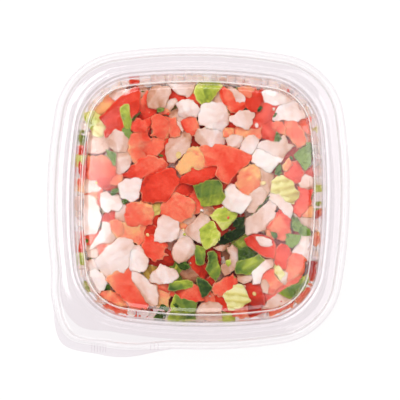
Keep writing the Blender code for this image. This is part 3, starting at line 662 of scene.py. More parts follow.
onionTop = [
    (0.6, 7.0, 0.25, 0.3, [(-35.9, 29.1), (-32.7, 27.4), (-29.9, 23.2), (-30.4, 21.5), (-31.9, 19.5),
     (-35.8, 19.7), (-38.8, 21.7), (-40.0, 25.1), (-38.3, 27.1)]),
    (3.0, 6.0, 0.35, 0.2, [(-47.2, 26.9), (-42.8, 26.5), (-39.8, 25.1), (-38.8, 21.7), (-40.2, 20.2),
     (-42.2, 19.4), (-47.1, 19.3)]),
    (3.2, 4.0, 0.5, 0.1, [(-26.4, 48.1), (-24.4, 47.6), (-22.2, 45.7), (-24.6, 42.0), (-26.1, 44.2)]),
    (2.2, 5.0, 0.15, 0.2, [(-38.6, 43.7), (-36.2, 46.0), (-33.7, 46.5), (-30.5, 46.1), (-35.6, 41.6),
     (-37.1, 42.5)]),
    (0.4, 8.0, 0.58, 0.3, [(-20.5, 47.4), (-17.8, 48.5), (-16.8, 47.5), (-12.9, 47.1), (-12.6, 45.3),
     (-13.8, 43.1), (-14.5, 39.9), (-16.2, 38.4), (-21.8, 39.1), (-22.8, 40.3), (-22.4, 43.7)]),
    (2.2, 4.0, 0.3, 0.2, [(-12.8, 41.7), (-11.1, 42.2), (-10.1, 41.0), (-13.0, 38.0), (-14.5, 38.4),
     (-14.7, 40.2)]),
    (0.9, 6.0, 0.12, 0.3, [(-13.4, 48.8), (-11.2, 49.5), (-5.8, 50.1), (-2.1, 49.7), (-2.8, 46.9),
     (-3.8, 45.2), (-5.0, 43.2), (-6.2, 44.0), (-9.7, 45.4), (-11.4, 46.6)]),
    (3.4, 5.0, 0.45, 0.2, [(5.6, 44.9), (9.0, 46.1), (11.5, 44.7), (11.5, 40.0), (7.4, 39.7), (4.4, 40.4)]),
    (0.5, 6.0, 0.1, 0.3, [(-10.1, 40.0), (-8.1, 41.5), (-5.2, 42.0), (-3.0, 41.8), (-1.0, 39.6),
     (0.0, 37.4), (-1.2, 35.4), (-4.6, 35.1), (-6.1, 34.4), (-8.3, 35.6), (-8.8, 37.8)]),
    (2.6, 5.0, 0.45, 0.2, [(-13.0, 36.5), (-9.1, 37.8), (-6.1, 35.6), (-5.1, 33.9), (-8.0, 32.6),
     (-10.5, 34.1), (-12.7, 35.0)]),
    (0.3, 9.0, 0.12, 0.5, [(1.0, 40.6), (6.1, 40.9), (10.0, 41.0), (11.5, 39.5), (12.6, 35.6), (12.8, 34.2),
     (11.7, 31.2), (9.7, 29.0), (7.3, 29.9), (3.1, 30.3), (2.6, 31.3), (-0.1, 31.8), (-0.4, 34.5),
     (0.3, 37.9)]),
    (0.9, 7.0, 0.2, 0.4, [(-0.1, 29.8), (3.1, 30.2), (6.3, 29.9), (9.2, 28.7), (11.0, 25.8), (11.3, 23.8),
     (10.1, 22.3), (5.2, 22.0), (1.0, 22.5), (-1.0, 24.9), (-1.8, 26.8)]),
    (0.6, 7.0, 0.45, 0.3, [(-7.5, 29.0), (-5.0, 28.3), (-3.7, 25.8), (-3.7, 23.9), (-4.6, 20.9),
     (-7.3, 18.9), (-9.2, 16.2), (-10.2, 15.2), (-13.2, 15.6), (-13.9, 18.1), (-14.0, 22.2), (-12.6, 25.2),
     (-9.9, 27.0), (-8.4, 28.0)]),
    (2.2, 5.0, 0.25, 0.2, [(12.2, 47.7), (14.0, 47.1), (17.0, 45.7), (18.6, 44.5), (19.5, 42.7),
     (19.5, 40.0), (16.8, 40.6), (14.7, 42.6), (13.4, 44.7)]),
    (0.5, 7.0, 0.22, 0.3, [(22.8, 38.2), (23.3, 36.2), (22.9, 32.5), (21.2, 30.3), (19.1, 30.1),
     (15.7, 31.8), (13.2, 33.3), (13.3, 35.1), (18.1, 37.4)]),
    (1.2, 6.0, 0.12, 0.3, [(27.2, 46.1), (30.2, 47.4), (36.5, 47.4), (41.1, 43.6), (42.9, 41.2),
     (38.1, 40.3), (35.4, 41.1), (28.2, 40.9), (27.6, 44.0)]),
    (0.8, 7.0, 0.08, 0.3, [(35.1, 40.2), (41.1, 42.4), (44.1, 40.3), (46.9, 36.5), (42.4, 34.0),
     (38.2, 34.0), (36.7, 34.5), (33.1, 33.6), (31.6, 34.5), (32.2, 36.3), (33.0, 38.4)]),
    (0.7, 6.0, 0.3, 0.3, [(26.0, 23.7), (28.7, 24.8), (32.9, 24.3), (36.5, 27.0), (38.1, 23.5),
     (40.5, 23.2), (38.7, 20.8), (35.4, 17.7), (32.4, 18.3), (27.9, 20.9), (24.9, 22.4)]),
    (1.4, 6.0, 0.3, 0.3, [(11.8, 25.8), (14.3, 27.0), (18.5, 26.5), (19.1, 24.4), (17.1, 22.1),
     (12.9, 22.5)]),
    (0.6, 7.0, 0.12, 0.3, [(19.7, 25.9), (23.3, 27.2), (25.7, 25.4), (24.9, 22.7), (23.1, 19.9),
     (21.9, 19.3), (18.0, 21.1), (18.9, 22.9)]),
    (0.3, 7.0, 0.0, 0.3, [(24.6, 22.1), (28.5, 20.6), (32.4, 18.6), (36.0, 17.4), (33.1, 14.2),
     (30.7, 11.4), (28.3, 12.2), (25.6, 14.3), (22.9, 16.0), (23.4, 18.8)]),
    (1.6, 5.0, 0.35, 0.3, [(43.5, 9.1), (46.0, 10.1), (49.1, 9.2), (49.1, 4.7), (46.7, 3.6), (44.3, 5.5),
     (43.2, 7.6)]),
    (1.8, 6.0, 0.5, 0.3, [(25.9, 14.3), (28.9, 13.1), (31.6, 10.5), (32.3, 6.9), (31.4, 3.6), (29.9, 2.6),
     (26.3, 4.1), (24.8, 5.6), (25.0, 9.8)]),
    (0.5, 8.0, 0.08, 0.3, [(13.1, 6.0), (14.9, 5.7), (17.0, 3.7), (18.5, 1.9), (22.2, 1.0), (22.8, -0.5),
     (21.0, -2.3), (20.4, -4.1), (18.1, -6.2), (14.4, -5.4), (10.5, -2.1), (11.4, 0.9), (11.3, 3.6)]),
    (1.2, 7.0, 0.42, 0.3, [(22.1, 1.9), (25.7, 4.1), (27.5, 4.4), (29.7, 2.0), (28.2, -0.1), (23.5, -6.3),
     (20.7, -4.4), (21.3, -2.3), (22.8, -0.5)]),
    (0.6, 6.0, 0.12, 0.3, [(30.3, 1.4), (32.0, 2.7), (34.2, 2.1), (37.2, -0.3), (40.5, -2.9), (40.3, -5.9),
     (39.7, -8.0), (37.0, -6.0), (35.1, -3.9), (33.6, -2.1), (31.2, -0.6)]),
    (1.3, 6.0, 0.34, 0.3, [(31.2, -0.8), (33.9, -2.1), (32.5, -5.1), (33.2, -6.0), (31.9, -8.4),
     (29.5, -11.0), (28.7, -13.1), (25.4, -14.5), (21.5, -14.9), (20.1, -13.7), (19.5, -11.3), (21.4, -8.9),
     (24.1, -6.7), (28.2, -3.4)]),
    (1.0, 6.0, 0.15, 0.4, [(44.3, -15.6), (46.4, -15.0), (48.5, -15.8), (49.5, -19.0), (48.9, -25.9),
     (47.5, -26.3), (45.0, -24.0), (41.7, -23.4), (41.2, -22.1), (42.9, -19.7)]),
    (2.6, 5.0, 0.2, 0.2, [(41.8, -6.8), (44.8, -7.4), (49.3, -7.0), (49.4, -12.7), (46.1, -11.8),
     (43.3, -9.2)]),
    (2.4, 5.0, 0.2, 0.2, [(-48.1, 6.7), (-44.5, 7.5), (-41.7, 5.1), (-43.2, 2.8), (-48.1, 2.0)]),
    (0.7, 8.0, 0.14, 0.4, [(-49.0, 0.6), (-45.8, 0.8), (-44.3, -1.8), (-42.8, -5.3), (-42.0, -8.2),
     (-42.5, -11.6), (-44.1, -15.3), (-46.6, -16.2), (-48.8, -15.9)]),
    (0.7, 7.0, 0.14, 0.3, [(-41.4, 1.6), (-40.0, 2.2), (-37.5, 0.7), (-34.0, 0.3), (-33.0, -1.7),
     (-33.2, -4.1), (-34.4, -5.9), (-37.4, -4.9), (-38.9, -6.3), (-40.9, -4.2), (-41.9, -1.8)]),
    (0.5, 7.0, 0.1, 0.3, [(-34.1, 5.7), (-31.9, 7.4), (-29.2, 7.6), (-26.3, 8.2), (-24.4, 7.5),
     (-24.8, 4.3), (-25.4, 2.4), (-26.2, -0.6), (-28.4, -2.0), (-30.6, -0.9), (-33.3, -0.1), (-34.0, 2.7)]),
    (1.8, 5.0, 0.42, 0.2, [(-34.2, -4.2), (-31.8, -3.6), (-29.8, -4.1), (-30.3, -7.5), (-30.7, -9.7),
     (-33.2, -10.0), (-35.0, -8.6), (-34.4, -5.9)]),
    (0.6, 6.0, 0.12, 0.3, [(-46.7, -22.5), (-45.1, -19.9), (-42.6, -17.2), (-40.7, -14.2), (-40.5, -11.0),
     (-38.1, -11.5), (-37.5, -14.4), (-35.3, -17.3), (-37.2, -19.3), (-39.2, -19.5), (-42.6, -20.5),
     (-45.0, -22.1)]),
    (1.0, 7.0, 0.42, 0.3, [(1.9, -6.3), (3.4, -7.3), (4.9, -9.5), (3.4, -11.0), (1.0, -13.7), (0.5, -15.9),
     (1.1, -19.1), (-1.4, -17.7), (-3.9, -16.0), (-5.9, -14.1), (-2.5, -11.1), (0.2, -8.3)]),
    (3.0, 5.0, 0.5, 0.2, [(-2.3, -6.4), (-1.3, -8.6), (-3.5, -11.6), (-5.9, -11.1), (-5.2, -8.4)]),
    (0.4, 8.0, 0.22, 0.4, [(-16.7, -9.1), (-14.3, -7.8), (-11.8, -8.5), (-8.4, -9.9), (-8.1, -13.1),
     (-9.1, -17.1), (-11.9, -18.9), (-18.2, -18.7), (-17.9, -16.2), (-17.2, -12.5)]),
    (3.2, 5.0, 0.6, 0.1, [(1.8, -3.2), (5.0, -3.4), (6.8, -5.0), (5.1, -7.3), (2.9, -7.1)]),
    (2.6, 5.0, 0.15, 0.2, [(-8.8, -15.2), (-7.3, -14.4), (-5.4, -15.6), (-4.4, -16.7), (-7.3, -17.7),
     (-9.3, -17.5)]),
    (0.4, 7.0, 0.38, 0.3, [(-4.4, -16.4), (-2.9, -17.4), (-0.5, -21.5), (-1.1, -23.5), (-4.2, -26.0),
     (-5.2, -27.0), (-8.1, -27.5), (-9.9, -26.1), (-11.0, -23.4), (-9.5, -20.2), (-7.8, -18.4)]),
    (0.5, 7.0, 0.2, 0.3, [(-16.0, -29.1), (-13.8, -29.6), (-10.1, -31.0), (-8.1, -33.4), (-9.0, -34.9),
     (-11.7, -36.4), (-16.4, -36.7), (-21.5, -36.0), (-20.8, -34.6), (-17.9, -31.6)]),
    (0.7, 7.0, 0.34, 0.3, [(-28.3, -31.4), (-26.2, -31.8), (-23.5, -33.5), (-21.5, -35.6), (-20.3, -37.5),
     (-17.9, -38.5), (-16.8, -42.2), (-17.0, -46.1), (-19.4, -46.5), (-21.9, -44.1), (-24.0, -40.0),
     (-27.3, -35.6)]),
    (0.5, 7.0, 0.12, 0.3, [(-29.5, -25.1), (-26.6, -20.9), (-25.2, -20.6), (-23.4, -22.1), (-22.9, -24.3),
     (-21.4, -26.7), (-21.5, -29.2), (-23.3, -31.8), (-26.2, -31.7), (-28.4, -31.2), (-29.5, -29.3)]),
    (0.6, 9.0, 0.14, 0.5, [(-42.0, -25.5), (-37.7, -21.1), (-34.3, -17.8), (-31.6, -18.0), (-27.9, -19.0),
     (-26.9, -20.9), (-29.3, -24.9), (-29.7, -26.8), (-29.5, -29.0), (-31.6, -32.3), (-34.1, -32.8),
     (-36.5, -35.4), (-38.4, -35.9), (-40.4, -33.4), (-42.9, -30.5), (-44.2, -27.5)]),
    (0.9, 7.0, 0.06, 0.3, [(-47.4, -33.0), (-43.7, -31.2), (-41.4, -32.9), (-38.8, -37.0), (-39.1, -39.6),
     (-41.1, -40.2), (-42.3, -41.6), (-44.8, -40.8), (-46.8, -37.9), (-47.7, -35.4)]),
    (3.4, 5.0, 0.7, 0.1, [(-5.6, -30.7), (-2.2, -29.6), (0.5, -33.8), (-1.2, -35.8), (-5.1, -35.3),
     (-6.8, -32.4)]),
    (1.0, 7.0, 0.5, 0.3, [(2.4, -45.5), (6.1, -44.9), (8.8, -45.3), (10.4, -46.2), (10.6, -51.8),
     (0.6, -52.2), (0.3, -49.0)]),
    (0.4, 5.0, 0.18, 0.3, [(23.5, -30.4), (26.8, -28.0), (31.5, -25.4), (32.6, -25.8), (32.6, -28.2),
     (30.4, -30.0), (28.6, -31.3), (27.4, -33.7), (27.2, -35.6), (24.8, -36.6), (24.1, -33.7)]),
    (2.2, 5.0, 0.44, 0.2, [(17.7, -33.1), (21.1, -33.3), (23.5, -33.0), (23.7, -33.8), (22.7, -35.1),
     (20.1, -35.9), (18.2, -35.1)]),
    (0.8, 4.0, 0.55, 0.2, [(27.3, -34.3), (29.1, -33.9), (30.7, -37.2), (30.1, -40.4), (28.7, -40.0),
     (27.7, -37.3)]),
    (0.6, 4.0, 0.3, 0.2, [(37.3, -31.1), (38.7, -31.7), (37.8, -36.4), (36.3, -35.2)]),
    (2.6, 5.0, 0.3, 0.2, [(36.2, -39.9), (40.2, -41.9), (40.5, -43.7), (33.9, -46.2), (29.1, -46.9),
     (30.6, -44.4)]),
    (1.4, 6.0, 0.3, 0.3, [(-35.8, 20.5), (-30.9, 19.6), (-29.2, 15.9), (-29.9, 13.7), (-31.9, 10.5),
     (-34.7, 9.2), (-36.4, 11.9), (-36.3, 17.1)]),
    (0.7, 3.0, 0.55, 0.2, [(12.9, -21.3), (15.0, -20.5), (16.9, -22.4), (17.3, -26.0), (15.7, -29.8),
     (13.6, -32.1), (12.1, -32.8), (10.3, -30.3), (10.6, -28.7), (12.7, -27.6), (14.6, -26.7),
     (14.3, -24.0), (13.3, -22.8)]),
    (1.0, 2.0, 0.6, 0.1, [(7.2, -21.2), (9.3, -20.7), (13.2, -19.8), (13.6, -20.7), (10.8, -22.4),
     (9.0, -21.9)]),
    (0.1, 1.0, 0.1, 0.1, [(25.3, -16.4), (28.3, -16.2), (31.3, -17.8), (31.9, -20.0), (29.7, -21.3),
     (27.2, -20.6), (26.1, -18.7)]),
    (0.1, 1.0, 0.3, 0.1, [(-9.3, 32.7), (-8.6, 32.6), (-7.8, 30.6), (-7.0, 29.2), (-7.2, 28.7),
     (-8.3, 30.0), (-9.0, 31.4)]),
    # This onion's dark brown tone is painted shade of the deep spot where it lies.
    (5.0, 4.0, 0.9, 0.1, [(8.4, -21.9), (13.2, -21.0), (14.7, -26.6), (11.5, -28.5), (9.1, -27.6)]),
    (2.4, 5.0, 0.3, 0.2, [(-47.6, -28.1), (-44.2, -27.5), (-41.7, -30.4), (-44.9, -32.4), (-47.6, -33.5)]),
    (3.2, 5.0, 0.3, 0.2, [(45.8, 9.5), (49.4, 9.5), (49.1, 3.5), (46.1, 3.5)]),
    (1.6, 5.0, 0.4, 0.2, [(48.8, -23.8), (52.0, -23.8), (51.6, -28.0), (48.4, -28.0)]),
    (1.8, 5.0, 0.4, 0.2, [(-47.0, -21.6), (-43.2, -21.8), (-43.0, -25.8), (-46.8, -25.6)]),
]
greenPepperTop = [
    (2.0, 5.0, 0.18, 0.2, [(-45.6, 36.3), (-42.6, 34.4), (-42.6, 32.6), (-45.7, 29.2), (-47.2, 29.9),
     (-48.7, 32.8), (-49.3, 35.7)]),
    (0.3, 8.0, 0.3, 0.5, [(-0.4, 49.4), (3.5, 50.2), (8.4, 50.1), (9.6, 47.9), (7.3, 45.6), (5.6, 43.1),
     (4.6, 40.9), (2.4, 41.1), (0.7, 40.5), (-1.3, 42.3), (-2.4, 45.7), (-1.6, 47.7)]),
    (1.3, 6.0, 0.3, 0.3, [(48.2, 6.2), (52.7, 5.7), (53.2, 1.2), (51.9, -4.3), (48.3, -4.6)]),
    (0.4, 6.0, 0.7, 0.3, [(-1.7, 4.9), (1.2, 6.2), (4.6, 7.4), (8.6, 7.7), (9.8, 5.8), (10.3, 2.9),
     (11.4, 0.4), (9.9, -1.6), (6.7, -2.8), (3.6, -3.4), (1.8, -3.2), (0.1, -0.2)]),
    (2.3, 7.0, 0.18, 0.3, [(5.9, -7.5), (7.9, -5.2), (11.7, -3.9), (14.6, -4.7), (16.2, -6.1), (16.3, -7.9),
     (14.3, -10.3), (12.4, -12.1), (10.7, -13.1), (9.8, -11.7), (8.4, -9.3)]),
    (0.6, 7.0, 0.24, 0.4, [(0.7, -13.6), (3.9, -10.8), (6.8, -10.3), (8.2, -13.3), (9.7, -15.8),
     (8.5, -18.9), (5.3, -20.9), (3.8, -21.6), (2.1, -19.3), (0.5, -16.6)]),
    (0.4, 4.0, 0.66, 0.2, [(-11.0, -36.1), (-8.5, -35.9), (-4.1, -35.7), (-1.9, -36.5), (-2.1, -37.9),
     (-5.0, -38.8), (-8.5, -39.5), (-11.9, -39.5), (-11.7, -37.4)]),
    (0.8, 4.0, 0.95, 0.2, [(0.6, -34.5), (2.3, -34.7), (4.5, -36.4), (6.1, -38.8), (4.3, -41.3),
     (2.6, -42.0), (1.4, -39.7), (0.5, -37.0)]),
    (0.7, 4.0, 0.66, 0.2, [(-0.1, -20.6), (2.1, -21.1), (3.2, -22.2), (2.7, -27.9), (1.2, -28.5),
     (-0.5, -28.0), (-0.7, -23.5)]),
    (0.6, 4.0, 0.74, 0.2, [(4.8, -23.6), (6.5, -23.0), (7.9, -24.3), (8.8, -28.3), (10.0, -31.2),
     (8.2, -35.3), (5.9, -33.5), (4.2, -30.8), (5.1, -27.3)]),
    (0.8, 7.0, 0.52, 0.3, [(-10.4, -44.5), (-9.4, -42.4), (-5.0, -43.5), (-0.2, -45.1), (-0.7, -49.0),
     (-0.9, -52.0), (-8.8, -52.6), (-12.2, -52.1), (-10.6, -48.2), (-10.7, -46.7)]),
    (0.6, 6.0, 0.62, 0.3, [(17.5, -26.9), (21.9, -26.2), (26.7, -24.2), (28.4, -25.9), (26.8, -28.3),
     (24.4, -30.1), (22.6, -32.5), (19.0, -32.0), (16.6, -31.4), (16.3, -30.2), (16.9, -28.1)]),
    (1.8, 6.0, 0.6, 0.2, [(35.9, -40.2), (41.6, -36.8), (44.9, -33.7), (47.5, -32.8), (47.9, -35.2),
     (45.5, -38.8), (42.6, -41.3), (40.2, -42.5), (37.8, -41.3)]),
    (0.4, 1.0, 0.3, 0.1, [(12.6, -26.8), (14.2, -26.3), (14.2, -27.9), (13.2, -28.9), (12.5, -27.9)]),
    (1.3, 4.0, 0.2, 0.1, [(9.7, -49.2), (16.3, -49.4), (16.3, -52.4), (9.7, -52.5)]),
    (1.3, 4.0, 0.1, 0.1, [(-50.5, -24.9), (-48.9, -24.9), (-49.0, -29.1), (-50.2, -29.1)]),
]
palePepperTop = [
    (2.6, 5.0, 0.2, 0.1, [(-42.4, 32.6), (-40.1, 31.7), (-39.1, 29.3), (-40.3, 27.0), (-42.8, 26.0),
     (-45.5, 27.2), (-46.0, 29.2), (-43.3, 31.7)]),
    (0.5, 8.0, 0.3, 0.4, [(31.7, 7.8), (34.0, 9.6), (36.4, 9.9), (38.6, 8.2), (40.1, 7.9), (41.3, 4.3),
     (43.0, 3.4), (42.6, 1.0), (40.8, -1.7), (37.2, -0.3), (34.2, 1.9), (31.7, 3.0)]),
    (3.0, 5.0, 0.5, 0.1, [(-19.8, -3.5), (-16.8, -2.7), (-15.3, -3.9), (-17.3, -6.6), (-20.0, -7.4)]),
    (3.0, 5.0, 0.9, 0.1, [(-23.1, -30.7), (-20.4, -29.4), (-15.5, -28.4), (-15.5, -29.6), (-18.1, -32.3),
     (-21.5, -35.6), (-22.3, -32.6)]),
    (0.3, 8.0, 0.2, 0.4, [(15.5, -37.4), (17.6, -36.8), (19.7, -37.4), (21.2, -40.4), (23.1, -43.9),
     (19.8, -45.8), (15.6, -47.9), (14.0, -47.8), (12.6, -44.4), (11.7, -42.0), (13.1, -40.2),
     (15.5, -38.9)]),
    (0.5, 4.0, 0.12, 0.2, [(33.1, -28.5), (34.9, -27.9), (36.4, -30.5), (37.2, -32.3), (36.0, -34.3),
     (34.6, -32.8), (33.0, -31.2)]),
]
greenStemTop = [
    (0.2, 3.0, 0.42, 0.3, [(-33.8, 37.8), (-32.5, 39.5), (-31.1, 39.8), (-30.3, 38.4), (-30.0, 36.3),
     (-29.4, 34.1), (-29.2, 31.4), (-29.6, 29.7), (-31.5, 29.7), (-32.6, 32.4), (-33.5, 35.1)]),
]
# Patches of cilantro: tone, and outline in mm.
cilantroPatches = [
    (0.45, [(-29.4, 33.3), (-27.2, 35.2), (-25.1, 36.9), (-25.1, 36.1), (-27.2, 34.4), (-28.8, 32.5)]),
    (1.0, [(-32.6, 29.7), (-31.0, 30.0), (-29.6, 29.7), (-29.3, 27.5), (-28.7, 26.2), (-30.4, 24.8),
     (-32.0, 23.7), (-33.9, 24.8), (-34.2, 26.1), (-32.8, 27.5), (-33.4, 28.9)]),
    (0.8, [(-40.0, 20.7), (-37.8, 19.7), (-35.5, 18.5), (-35.4, 16.8), (-35.9, 13.3), (-36.9, 13.6),
     (-38.7, 17.2)]),
    (0.85, [(-18.3, 38.1), (-17.2, 38.5), (-15.0, 38.7), (-15.3, 37.3), (-16.6, 36.6), (-18.2, 36.7)]),
    (0.6, [(31.3, 35.1), (32.5, 37.2), (33.4, 36.9), (32.5, 35.1)]),
    (0.6, [(33.2, 29.4), (34.7, 27.6), (34.3, 25.5), (32.6, 24.6), (32.6, 26.7)]),
    (0.95, [(40.8, 19.3), (43.8, 22.0), (48.2, 24.5), (48.3, 20.0), (45.9, 17.9), (44.5, 16.0),
     (41.7, 17.2)]),
    (0.95, [(40.8, 19.0), (44.4, 20.8), (48.3, 20.3), (48.2, 15.5), (46.0, 12.2), (44.5, 13.9),
     (42.0, 17.2)]),
    (0.6, [(33.1, 13.5), (34.9, 15.3), (35.8, 12.9), (34.6, 9.9), (33.4, 10.5)]),
    (0.5, [(24.7, 37.4), (24.9, 38.9), (26.1, 40.2), (27.2, 39.2), (25.9, 37.4)]),
    (0.6, [(-37.0, 3.4), (-34.6, 4.1), (-34.0, 2.7), (-35.5, 1.0), (-37.0, 0.2), (-37.6, 1.2)]),
    (0.5, [(-33.0, -1.7), (-31.3, -0.7), (-29.8, -1.6), (-31.8, -3.4)]),
    (0.6, [(22.6, -7.8), (22.9, -7.2), (26.6, -2.6), (30.6, 1.6), (30.9, 1.2), (27.2, -2.9), (23.2, -7.6)]),
    (0.2, [(16.9, -8.0), (20.2, -7.6), (19.6, -11.3), (17.9, -13.7), (15.8, -12.6), (15.1, -10.2)]),
    (0.15, [(20.2, -11.3), (20.3, -14.6), (17.3, -17.0), (15.2, -18.3), (11.4, -19.8), (9.2, -19.6),
     (8.9, -17.5), (11.9, -14.7), (15.8, -13.2)]),
    (0.85, [(40.6, -8.0), (42.7, -7.7), (44.8, -11.0), (43.4, -14.0), (41.0, -13.4)]),
    (0.9, [(43.3, -11.0), (47.9, -12.4), (49.4, -15.4), (45.2, -15.8), (43.1, -14.3)]),
    (0.95, [(37.4, -14.9), (41.0, -14.9), (44.6, -15.4), (43.2, -19.0), (40.5, -20.9), (37.8, -19.7)]),
    (0.7, [(31.2, -13.9), (33.8, -14.4), (34.3, -16.2), (32.9, -17.0), (31.7, -15.6)]),
    (0.5, [(17.4, -21.5), (20.7, -20.6), (24.3, -23.2), (24.3, -24.7), (21.0, -26.6), (17.7, -26.6)]),
    (0.45, [(-10.1, -27.0), (-8.1, -27.5), (-5.2, -27.0), (-3.4, -29.4), (-5.1, -31.2), (-7.1, -30.7)]),
    (0.45, [(-15.2, -45.8), (-13.8, -45.9), (-11.7, -47.9), (-13.0, -49.7), (-14.0, -48.2), (-16.4, -47.8)]),
    (0.6, [(-16.4, -48.7), (-13.0, -50.2), (-13.7, -52.4), (-18.8, -52.2)]),
    (0.4, [(-10.3, -45.7), (-8.9, -45.2), (-7.6, -46.4), (-8.7, -47.5)]),
    (0.4, [(-7.3, -50.3), (-4.9, -49.8), (-4.8, -52.2), (-6.3, -52.2)]),
    (0.4, [(-38.8, -37.5), (-36.9, -37.7), (-37.4, -40.0), (-39.9, -40.5)]),
    (0.6, [(-48.2, -18.0), (-46.8, -18.5), (-47.3, -20.0), (-48.2, -19.7)]),
]

# How a kind is cut, in mm: the corners cut off, the raggedness and rounding of the top's edges, slanted
# facets with their slopes and tones of painted shading, bumps and their size, a painted shading gradient
# across the piece in a random direction, the rim's width, how far the sides count as rim, the sides' tone of
# painted shade, and the angle in degrees from which an edge is sharp.
tomatoCut = {"corner": 0.35, "ragged": 0.85, "soft": 0.7, "facets": 2, "slopes": (0.15, 0.6),
             "tones": (-0.2, 0.12), "bump": 0.6, "bumpSize": 3.0, "shadeGradient": 0.24, "rim": 0.7, "side": 0.2,
             "under": -0.12, "crease": 42}
onionCut = {"corner": 0.15, "ragged": 0.55, "soft": 0.5, "facets": 2, "slopes": (0.15, 0.6),
            "tones": (-0.08, 0.2), "bump": 0.3, "bumpSize": 4.0, "shadeGradient": 0.28, "rim": 0.75, "side": 0.1,
            "under": 0.28, "crease": 38}
pepperCut = {"corner": 0.25, "ragged": 0.5, "soft": 0.5, "facets": 1, "slopes": (0.1, 0.5),
             "tones": (-0.16, 0.16), "bump": 0.35, "bumpSize": 3.2, "shadeGradient": 0.3, "rim": 0.55, "side": 0.9,
             "under": 0.1, "crease": 22}
leafCut = {"corner": 0.2, "ragged": 0.3, "soft": 0.14, "facets": 0, "bump": 0.0, "bumpSize": 2.0,
           "shadeGradient": 0.2, "rim": 0.3, "side": 0.5, "under": 0.0, "crease": 60}
seedCut = {"corner": 0.3, "ragged": 0.05, "soft": 0.5, "facets": 0, "bump": 0.05, "bumpSize": 1.0,
           "shadeGradient": 0.2, "rim": 0.5, "side": 0.5, "under": 0.2, "crease": 60}


# Rows made a length of 1.
def unit(rows):
    return rows / np.maximum(np.linalg.norm(rows, axis=1), 1e-9)[:, None]


# A direction in the plane at a random angle.
def randomWay():
    angle = draw.uniform(0, 2 * math.pi)
    return np.array([math.cos(angle), math.sin(angle)])


# Cuts each corner of a loop off, at most a third of the way along its edges.
def cornersCut(loop, cut):
    made = []
    for i, here in enumerate(loop):
        for other in (loop[i - 1], loop[(i + 1) % len(loop)]):
            step = other - here
            made.append(here + step * min(0.33, cut / max(np.linalg.norm(step), 1e-6)))
    return np.array(made)


# A loop with extra points, at most a spacing apart, along its edges.
def resampled(loop, spacing):
    made = []
    for here, ahead in zip(loop, np.roll(loop, -1, axis=0)):
        steps = max(1, round(np.linalg.norm(ahead - here) / spacing))
        made += [here + (ahead - here) * i / steps for i in range(steps)]
    return np.array(made)


# Points at even steps round a loop.
def evenly(loop, spacing):
    closed = np.vstack([loop, loop[:1]])
    along = np.concatenate([[0], np.cumsum(np.linalg.norm(np.diff(closed, axis=0), axis=1))])
    count = int(along[-1] / spacing)
    at = np.arange(count) * along[-1] / count
    return np.stack([np.interp(at, along, closed[:, 0]), np.interp(at, along, closed[:, 1])], axis=1)


# The direction into an anticlockwise loop at each of its points.
def inwards(loop):
    ahead = np.roll(loop, -1, axis=0) - np.roll(loop, 1, axis=0)
    return unit(np.stack([-ahead[:, 1], ahead[:, 0]], axis=1))


# An anticlockwise loop moved outwards, its corners kept.
def grown(loop, distance):
    ahead = unit(np.roll(loop, -1, axis=0) - loop)
    out = np.stack([ahead[:, 1], -ahead[:, 0]], axis=1)
    both = unit(out + np.roll(out, 1, axis=0))
    return loop + both * distance / np.maximum((both * out).sum(1), 0.6)[:, None]


# How far inside a loop points lie; negative outside.
def edgeDistance(places, loop):
    ahead = np.roll(loop, -1, axis=0)
    step = ahead - loop
    gap = places[:, None] - loop[None]
    share = np.clip((gap * step).sum(2) / np.maximum((step * step).sum(1), 1e-12), 0, 1)
    away = np.linalg.norm(gap - share[..., None] * step, axis=2).min(1)
    rises = (loop[:, 1] > places[:, 1:]) != (ahead[:, 1] > places[:, 1:])
    height = np.where(ahead[:, 1] == loop[:, 1], 1e-9, ahead[:, 1] - loop[:, 1])
    meets = places[:, :1] < step[:, 0] * (places[:, 1:] - loop[:, 1]) / height + loop[:, 0]
    return np.where((rises & meets).sum(1) % 2 == 1, away, -away)


# Collects the pieces of one kind into one mesh.
class Heap:
    def __init__(self, cut):
        self.cut = cut
        self.places, self.faces, self.gaps, self.count = [], [], [], 0
        self.looks = {"tone": [], "rim": [], "grain": []}

    def add(self, places, faces, tone, rim, grain):
        self.places.append(places)
        self.faces += [tuple(self.count + i for i in face) for face in faces]
        for values, given in zip(self.looks.values(), (tone, rim, grain)):
            values.append(given)
        self.gaps.append(np.full(len(places), draw.uniform(0, 0.35) * mm))
        self.count += len(places)

    def build(self, name, look):
        places = keepInside(np.vstack(self.places), np.concatenate(self.gaps))
        mesh = bpy.data.meshes.new(name)
        mesh.from_pydata(places.tolist(), [], self.faces)
        for label, values in self.looks.items():
            made = mesh.attributes.new(label, "FLOAT", "POINT")
            made.data.foreach_set("value", np.concatenate(values).astype(np.float32))
        mesh.materials.append(look)
        mesh.shade_smooth()
        mesh.set_sharp_from_angle(angle=math.radians(self.cut["crease"]))
        print(name, sum(len(face) - 2 for face in self.faces), "triangles")
        return addObject(name, mesh)


# What all kinds share, in mm: rows of points inside the top's edge, in shares of its rounding, where facets
# start and how densely their creases are cut, the noises of the edge and of the bumps, and the sides' shape.
cutting = {
    "rows": (0.18, 0.55, 1.1), "facetReach": (0.15, 0.45), "creaseStep": 0.9, "creaseInset": 0.4,
    "raggedNoises": ((0, 0.35, 1.1), (5, 0.9, 0.8)),  # height in the noise, scale, strength
    "raggedFrom": 7, "smoothDome": 0.7, "smoothRagged": 0.35,  # small pieces and domed ones are smoother
    "bumpNoises": ((3, 1.0, 1.0), (7, 2.7, 0.4)),
    "bulge": (-0.3, 0.25), "sideNoise": 0.3, "sideWave": (0.3, 12),
}


